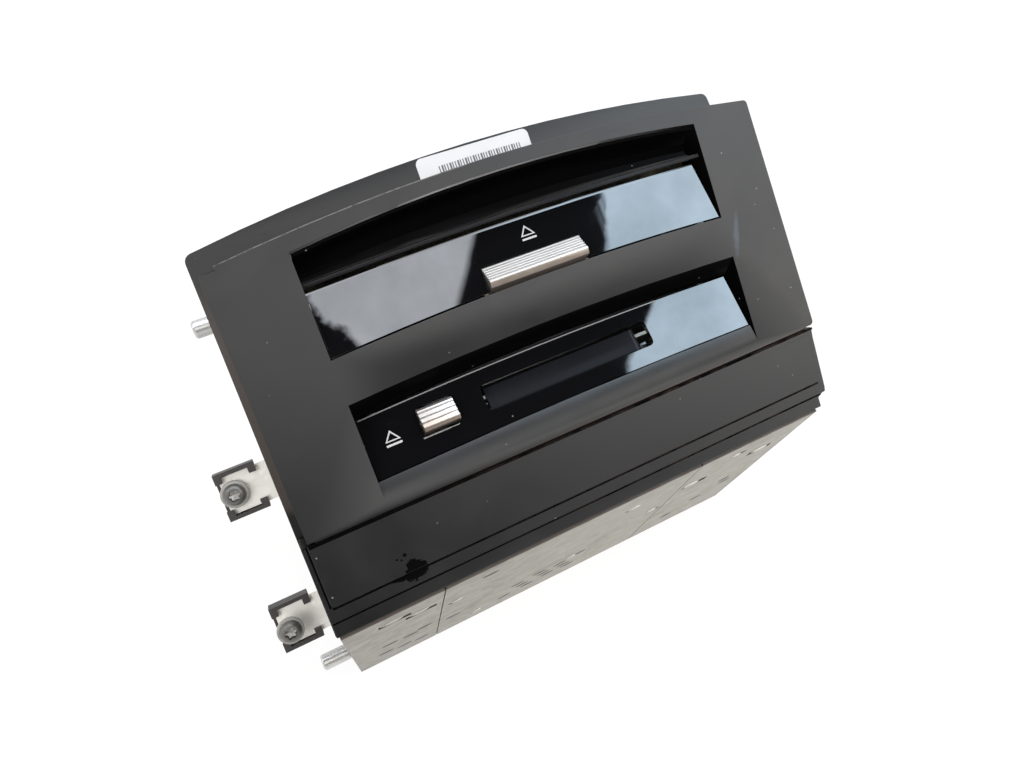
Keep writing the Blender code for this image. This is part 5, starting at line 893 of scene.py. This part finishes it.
class OBJECT_OT_changer_mounting(DressOperator, bpy.types.Operator):
    """Finish the brackets, clips and guide pins, and turn the four flange screws."""

    bl_idname = "object.changer_mounting"
    bl_label = "Brackets, clips, screws and pins"

    def execute(self, context):
        dress_all(("bracket_left", "bright_steel", "sheet", "bracket_zinc"),
                  ("bracket_right", "bright_steel", "sheet", "bracket_zinc"),
                  ("clip_upper", "clip_black", "fine"), ("clip_lower", "clip_black", "fine"),
                  ("guide_pin_upper", "bright_steel", "fine", "pin_steel"),
                  ("guide_pin_lower", "bright_steel", "fine", "pin_steel"))
        rings = ((1.6, -12.0), (1.98, -11.6), (2.2, -0.35), (2.2, 0.0), (4.05, 0.0), (4.2, 0.2), (4.2, 0.95),
                 (4.05, 1.2), (3.45, 1.22), (3.35, 1.3), (3.3, 2.0), (3.05, 2.8), (2.6, 3.35), (2.05, 3.62),
                 (1.72, 3.66, 0.15), (1.6, 3.4, 0.16), (1.55, 2.3, 0.16), (0.7, 1.9, 0.05))
        for side, level in product(SCREW_X, SCREW_UP):
            node = "screw_%s_%s" % (side, level)
            lift = LOOSE_SCREW[2] if (side, level) == LOOSE_SCREW[:2] else 0.0
            spot = FACE_PLACE @ Matrix.Translation(mm(SCREW_X[side], SCREW_UP[level], TAB_FRONT + lift))
            # Rim painted lit, dome painted in shade, socket painted dark with shade, and a painted highlight
            # on the socket's floor
            piece = placed(node + "_dressed", turned(rings, 48, (8, 14, 16)), spot, "screw_steel",
                           body_of[node], "screw_rim", "screw_steel", "screw_socket", "screw_rim")
            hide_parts(node)
        return {"FINISHED"}


class OBJECT_OT_changer_electrics(DressOperator, bpy.types.Operator):
    """Finish the main board and the rear sockets, and set the contact pins in them."""

    bl_idname = "object.changer_electrics"
    bl_label = "Board and sockets"

    def execute(self, context):
        dress_all(("main_board", "board_green", "none"), ("rear_socket_main", "socket_black", "sheet"),
                  ("rear_socket_small", "socket_black", "sheet"))
        backward = Matrix.Rotation(math.radians(-90), 4, "X")
        foot, tip = (radius * MM for radius in PIN_RADII)
        for name, low, high, floor, top, columns in SOCKETS:
            shape = bmesh.new()
            cell = (high - low - SOCKET_WALL) / 2
            for side, row, column in product(range(2), (0.33, 0.67), range(columns)):
                x = low + SOCKET_WALL + cell * side + (cell - SOCKET_WALL) * (column + 0.5) / columns
                up = floor + SOCKET_WALL + (top - floor - SOCKET_WALL * 2) * row
                spot = Matrix.Translation(mm(x, PIN_BACK + PIN_LONG / 2, up)) @ backward
                bmesh.ops.create_cone(shape, cap_ends=True, segments=4, radius1=foot, radius2=tip,
                                      depth=PIN_LONG * MM, matrix=spot)
            placed("contacts_%s" % name, shape, UNIT_PLACE, "bright_steel", "chassis", "contact_tin")
        return {"FINISHED"}


class OBJECT_OT_changer_loader(DressOperator, bpy.types.Operator):
    """Finish the slot frame, roller, gears and motors of the loader."""

    bl_idname = "object.changer_loader"
    bl_label = "Disc loader"

    def execute(self, context):
        dressed("disc_roller", "rubber", 0.0, None, "bright_steel", shaft_end)
        dress_all(("slot_frame", "socket_black", "sheet"), ("roller_gear", "gear_white", "none"),
                  ("loading_pinion", "gear_white", "none"), ("loading_motor", "bright_steel", "sheet"),
                  ("cam_motor", "bright_steel", "sheet"), ("cam_pinion", "gear_white", "none"),
                  ("cam_plate", "bright_steel", "none", "galvanised"))
        return {"FINISHED"}


class OBJECT_OT_changer_stocker(DressOperator, bpy.types.Operator):
    """Finish the six trays and their guide posts."""

    bl_idname = "object.changer_stocker"
    bl_label = "Stocker"

    def execute(self, context):
        dress_all(*(("stocker_tray_%d" % number, "tray_grey", "none") for number in range(1, 7)))
        # The guide posts get the dark slot_shade look: painted shade
        dress_all(*(("guide_post_%s" % place, "bright_steel", "none", "slot_shade")
                    for place in ("front_left", "front_right", "rear_right")))
        return {"FINISHED"}


class OBJECT_OT_changer_drive(DressOperator, bpy.types.Operator):
    """Finish the swing arm with its turntable, laser sled, screw and clamp."""

    bl_idname = "object.changer_drive"
    bl_label = "Disc drive"

    def execute(self, context):
        dress_all(("swing_base", "galvanised", "none"), ("clamp_arm", "galvanised", "none"),
                  ("spindle_motor", "bright_steel", "none"), ("turntable", "gear_white", "none"),
                  ("laser_sled", "socket_black", "sheet"), ("sled_rod", "bright_steel", "none"),
                  ("sled_screw", "bright_steel", "none"), ("sled_motor", "bright_steel", "sheet"))
        lens = turned(((2.5, 0.0), (2.4, 0.14), (1.9, 0.26), (1.0, 0.34), (0.3, 0.36)), 28)
        placed("sled_lens", lens, UNIT_PLACE @ Matrix.Translation(mm(-79.0, 19.5, 73.9)), "socket_black",
               body_of["laser_sled"], "lens_glass")
        ring = turned(((7.3, -0.05), (7.35, 0.2), (8.45, 0.2), (8.5, -0.05)), 40, closed=True)
        low, high = (UNIT_BACK @ Vector(corner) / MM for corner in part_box("turntable"))
        spot = (low + high) / 2
        placed("turntable_ring", ring, UNIT_PLACE @ Matrix.Translation(mm(spot.x, spot.y, 75.7)), "rubber",
               "turntable")
        return {"FINISHED"}


class OBJECT_OT_changer_marks(DressOperator, bpy.types.Operator):
    """Print the eject marks on the flap and on the card panel, and stick the label on the flange."""

    bl_idname = "object.changer_marks"
    bl_label = "Eject marks and label"

    def execute(self, context):
        form = settings()[1]
        for name, place, middle, foot, high, bow, body in (
                ("flap_mark", FLAP_PLACE, 2.4, 14.1, 3.6, FLAP_BOW, "flap"),
                ("card_mark", CARD_PLACE, -60.0, 8.1, 3.4, CARD_BOW, "chassis")):
            self.add_mark(form, name, place, mm(middle, foot, 0), high * MM, bow, body)
        self.add_label(form)
        return {"FINISHED"}

    def add_mark(self, form, name, place, spot, high, bow, body):
        """Hollow triangle above a bar."""
        shape = bmesh.new()
        wide = form.mark_wide
        radius = wide / math.sqrt(3)
        bmesh.ops.create_circle(shape, cap_ends=True, segments=3, radius=radius)
        bmesh.ops.scale(shape, vec=(1, high / (radius * 1.5), 1), verts=shape.verts)
        rims = bmesh.ops.inset_individual(shape, faces=shape.faces[:], thickness=form.mark_line)["faces"]
        middle = [face for face in shape.faces if face not in rims]
        bmesh.ops.delete(shape, geom=middle, context="FACES_ONLY")
        foot = min(vert.co.y for vert in shape.verts)
        gap = form.mark_line * 0.95
        bmesh.ops.translate(shape, vec=(0, form.mark_line * 0.8 + gap - foot, 0), verts=shape.verts)
        bar = (0, form.mark_line * 0.4, 0, wide, form.mark_line * 0.8)
        sheet(shape, flat_place(*(value / MM for value in bar)))
        film(shape, form.print_thick)
        bmesh.ops.translate(shape, vec=spot, verts=shape.verts)
        for vert in shape.verts:
            share = vert.co.y / (bow[2] * MM)
            rise = bow[0] + (bow[1] - bow[0]) * share
            bend = rise * (1 - (vert.co.x / (PANEL_HALF * MM)) ** 2) * MM
            vert.co.z += bend * math.sin(LEAN_ANGLE) + 0.02 * MM
        placed(name, shape, place, "silver_paint", body, "mark_ink")

    def add_label(self, form):
        """White sheet with round top corners on the flange above the plate."""
        shape = bmesh.new()
        sheet(shape, Matrix.Diagonal((form.label_long, form.label_high, 1, 1)))
        corners = [vert for vert in shape.verts if vert.co.y > 0]
        bmesh.ops.bevel(shape, geom=corners, offset=2.0 * MM, offset_type="OFFSET", segments=6,
                        profile=0.5, affect="VERTICES", material=-1)
        film(shape, form.print_thick)
        middle = mm(*LABEL_SPOT, FLANGE_FRONT + 0.02) - Vector((0, form.label_high / 2, 0))
        placed("flange_label", shape, FACE_PLACE @ Matrix.Translation(middle), "bezel_plastic", "chassis",
               "label_paper")


class OBJECT_OT_changer_studio(DressOperator, bpy.types.Operator):
    """Set the floor, the mirrored windows, the lamps, the room light and the camera."""

    bl_idname = "object.changer_studio"
    bl_label = "Studio"

    def execute(self, context):
        studio = settings()[2]
        scene = context.scene
        scene.view_settings.view_transform = "Standard"
        self.add_floor(studio)
        self.add_windows(studio)
        for name, at, size, power in LAMPS:
            self.add_lamp(name, at, size, getattr(studio, power))
        self.set_room(studio)
        camera = bpy.data.objects.new("camera", bpy.data.cameras.new("camera"))
        camera.data.lens = studio.lens
        camera.data.sensor_width = 36.0
        camera.data.sensor_fit = "HORIZONTAL"
        camera.data.clip_start = 0.01
        camera.data.clip_end = 20.0
        right, up, ahead = (Vector(axis) for axis in CAMERA_AXES)
        facing = Matrix((right, up, -ahead)).transposed().to_4x4()
        camera.matrix_world = Matrix.Translation(mm(*CAMERA_AT)) @ facing
        scene.collection.objects.link(camera)
        scene.camera = camera
        return {"FINISHED"}

    def add_sheet(self, name, size, place):
        """Flat square that isn't part of the unit."""
        shape = bmesh.new()
        bmesh.ops.create_grid(shape, x_segments=4, y_segments=4, size=size, matrix=place)
        mesh = bpy.data.meshes.new(name)
        shape.to_mesh(mesh)
        shape.free()
        made = bpy.data.objects.new(name, mesh)
        bpy.context.scene.collection.objects.link(made)
        return made

    def add_floor(self, studio):
        """Pale floor that fades to white in the camera."""
        floor = self.add_sheet("floor", 3.0, Matrix.Translation(mm(0, 0, -0.05)))
        material, tree, shader, place = new_finish("floor", 0.9, 0.0, Specular_IOR_Level=0.0)
        tone = blend(tree, noise(tree, place, 6.0), shade(studio.floor, 0.99), shade(studio.floor, 1.01))
        feed(tree, shader, Base_Color=tone)
        path = add(tree, "ShaderNodeLightPath")
        seen = either(tree, path.outputs["Is Camera Ray"], path.outputs["Is Glossy Ray"])
        glow = add(tree, "ShaderNodeEmission", {"Color": (1, 1, 1, 1), "Strength": 1.0})
        mixed = add(tree, "ShaderNodeMixShader", {0: calc(tree, "MULTIPLY", seen, 0.8),
                                                  1: shader.outputs[0], 2: glow.outputs[0]})
        tree.links.new(mixed.outputs[0], tree.nodes["Material Output"].inputs["Surface"])
        floor.data.materials.append(material)

    def add_windows(self, studio):
        """Ceiling with cloudy windows, mirrored by the gloss panels and seen by nothing else."""
        ceiling = self.add_sheet("ceiling", 2.4, Matrix.Translation((0.43, 0.0, 1.2)))
        material = bpy.data.materials.new("ceiling")
        material.use_nodes = True
        tree = material.node_tree
        tree.nodes.remove(tree.nodes["Principled BSDF"])
        place = add(tree, "ShaderNodeTexCoord").outputs["Object"]
        axes = add(tree, "ShaderNodeSeparateXYZ", {"Vector": place}).outputs
        ragged = span(tree, noise(tree, place, 9.0, 6.0, 0.6), 0.2, 0.8, -0.022, 0.022)
        across = calc(tree, "ADD", axes["X"], ragged)
        along = calc(tree, "ADD", axes["Y"], ragged)
        # Right window, whose near edge bends
        jamb = across
        for low, high, shift in JAMB_BENDS:
            jamb = calc(tree, "SUBTRACT", jamb, span(tree, axes["Y"], low, high, 0.0, shift))
        right = both(tree, inside(tree, jamb, 0.558, 1.25, 0.008), inside(tree, along, -0.55, 0.45, 0.02))
        # Left window between two slanted edges, and a far one behind both
        slope = calc(tree, "MULTIPLY_ADD", along, -0.8, across)
        corner = calc(tree, "MULTIPLY_ADD", along, 0.65, across)
        left = both(tree, span(tree, slope, 0.158, 0.142), span(tree, along, 0.08, 0.09),
                    span(tree, corner, 0.120, 0.134), span(tree, across, 0.0, 0.012))
        far = both(tree, span(tree, along, 0.30, 0.315), span(tree, along, 1.3, 1.1))
        cloud = span(tree, noise(tree, place, 5.0, 6.0, 0.62), 0.3, 0.72, 0.72, 1.12)
        tint = blend(tree, span(tree, axes["X"], 0.3, 0.6), (0.70, 0.735, 0.79, 1), (0.80, 1.0, 1.18, 1))
        # Wall below the windows, brighter toward the right
        depth = calc(tree, "MULTIPLY_ADD", axes["Y"], 2.0, axes["X"])
        low = span(tree, axes["Y"], -0.22, -0.34)
        wall = both(tree, span(tree, depth, -1.85, -1.1, 0.0, 2.9), low)
        tint = over(tree, tint, (1.03, 1.0, 0.96, 1), low)
        panes = both(tree, either(tree, right, left, far), cloud, studio.sky,
                     calc(tree, "SUBTRACT", 1.0, low))
        power = calc(tree, "ADD", either(tree, panes, wall), 0.02)
        glow = add(tree, "ShaderNodeEmission", {"Color": tint, "Strength": power})
        tree.links.new(glow.outputs[0], tree.nodes["Material Output"].inputs["Surface"])
        ceiling.data.materials.append(material)
        for kind in ("camera", "diffuse", "transmission", "shadow", "volume_scatter"):
            setattr(ceiling, "visible_" + kind, False)

    def add_lamp(self, name, at, size, power):
        """Round lamp aimed at the unit."""
        data = bpy.data.lights.new(name, "AREA")
        data.shape = "DISK"
        data.size = size
        data.energy = power
        lamp = bpy.data.objects.new(name, data)
        lamp.visible_glossy = False
        bpy.context.scene.collection.objects.link(lamp)
        aim = Vector(LAMP_AIM) - Vector(at)
        lamp.matrix_world = Matrix.Translation(at) @ aim.to_track_quat("-Z", "Y").to_matrix().to_4x4()

    def set_room(self, studio):
        """Soft light from all sides, and white where the camera or a gloss looks past the floor."""
        world = bpy.data.worlds.new("room")
        bpy.context.scene.world = world
        world.use_nodes = True
        tree = world.node_tree
        path = add(tree, "ShaderNodeLightPath")
        seen = either(tree, *(path.outputs["Is %s Ray" % kind]
                              for kind in ("Camera", "Glossy", "Transmission")))
        power = span(tree, seen, 0.0, 1.0, studio.room, 1.0)
        back = tree.nodes["Background"]
        back.inputs["Color"].default_value = (1, 1, 1, 1)
        tree.links.new(power, back.inputs["Strength"])


OPERATORS = (
    OBJECT_OT_changer_front, OBJECT_OT_changer_flap, OBJECT_OT_changer_card_bay, OBJECT_OT_changer_case,
    OBJECT_OT_changer_mounting, OBJECT_OT_changer_electrics, OBJECT_OT_changer_loader,
    OBJECT_OT_changer_stocker, OBJECT_OT_changer_drive, OBJECT_OT_changer_marks,
    OBJECT_OT_changer_studio,
)


class VIEW3D_PT_changer(bpy.types.Panel):
    """Lists the steps and the settings."""

    bl_label = "Disc changer"
    bl_idname = "VIEW3D_PT_changer"
    bl_space_type = "VIEW_3D"
    bl_region_type = "UI"
    bl_category = "Disc changer"

    def draw(self, context):
        for group in settings():
            box = self.layout.box()
            for key in group.bl_rna.properties.keys():
                if key not in ("rna_type", "name"):
                    box.prop(group, key)
        for step in OPERATORS:
            self.layout.operator(step.bl_idname)


CLASSES = (FinishSettings, FormSettings, StudioSettings) + OPERATORS + (VIEW3D_PT_changer,)


def register():
    for item in CLASSES:
        bpy.utils.register_class(item)
    bpy.types.Scene.changer_finish = PointerProperty(type=FinishSettings)
    bpy.types.Scene.changer_form = PointerProperty(type=FormSettings)
    bpy.types.Scene.changer_studio = PointerProperty(type=StudioSettings)


def unregister():
    for key in ("changer_finish", "changer_form", "changer_studio"):
        delattr(bpy.types.Scene, key)
    for item in reversed(CLASSES):
        bpy.utils.unregister_class(item)


def main():
    register()
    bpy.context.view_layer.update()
    for step in OPERATORS:
        group, name = step.bl_idname.split(".")
        getattr(getattr(bpy.ops, group), name)()


if __name__ == "__main__":
    main()
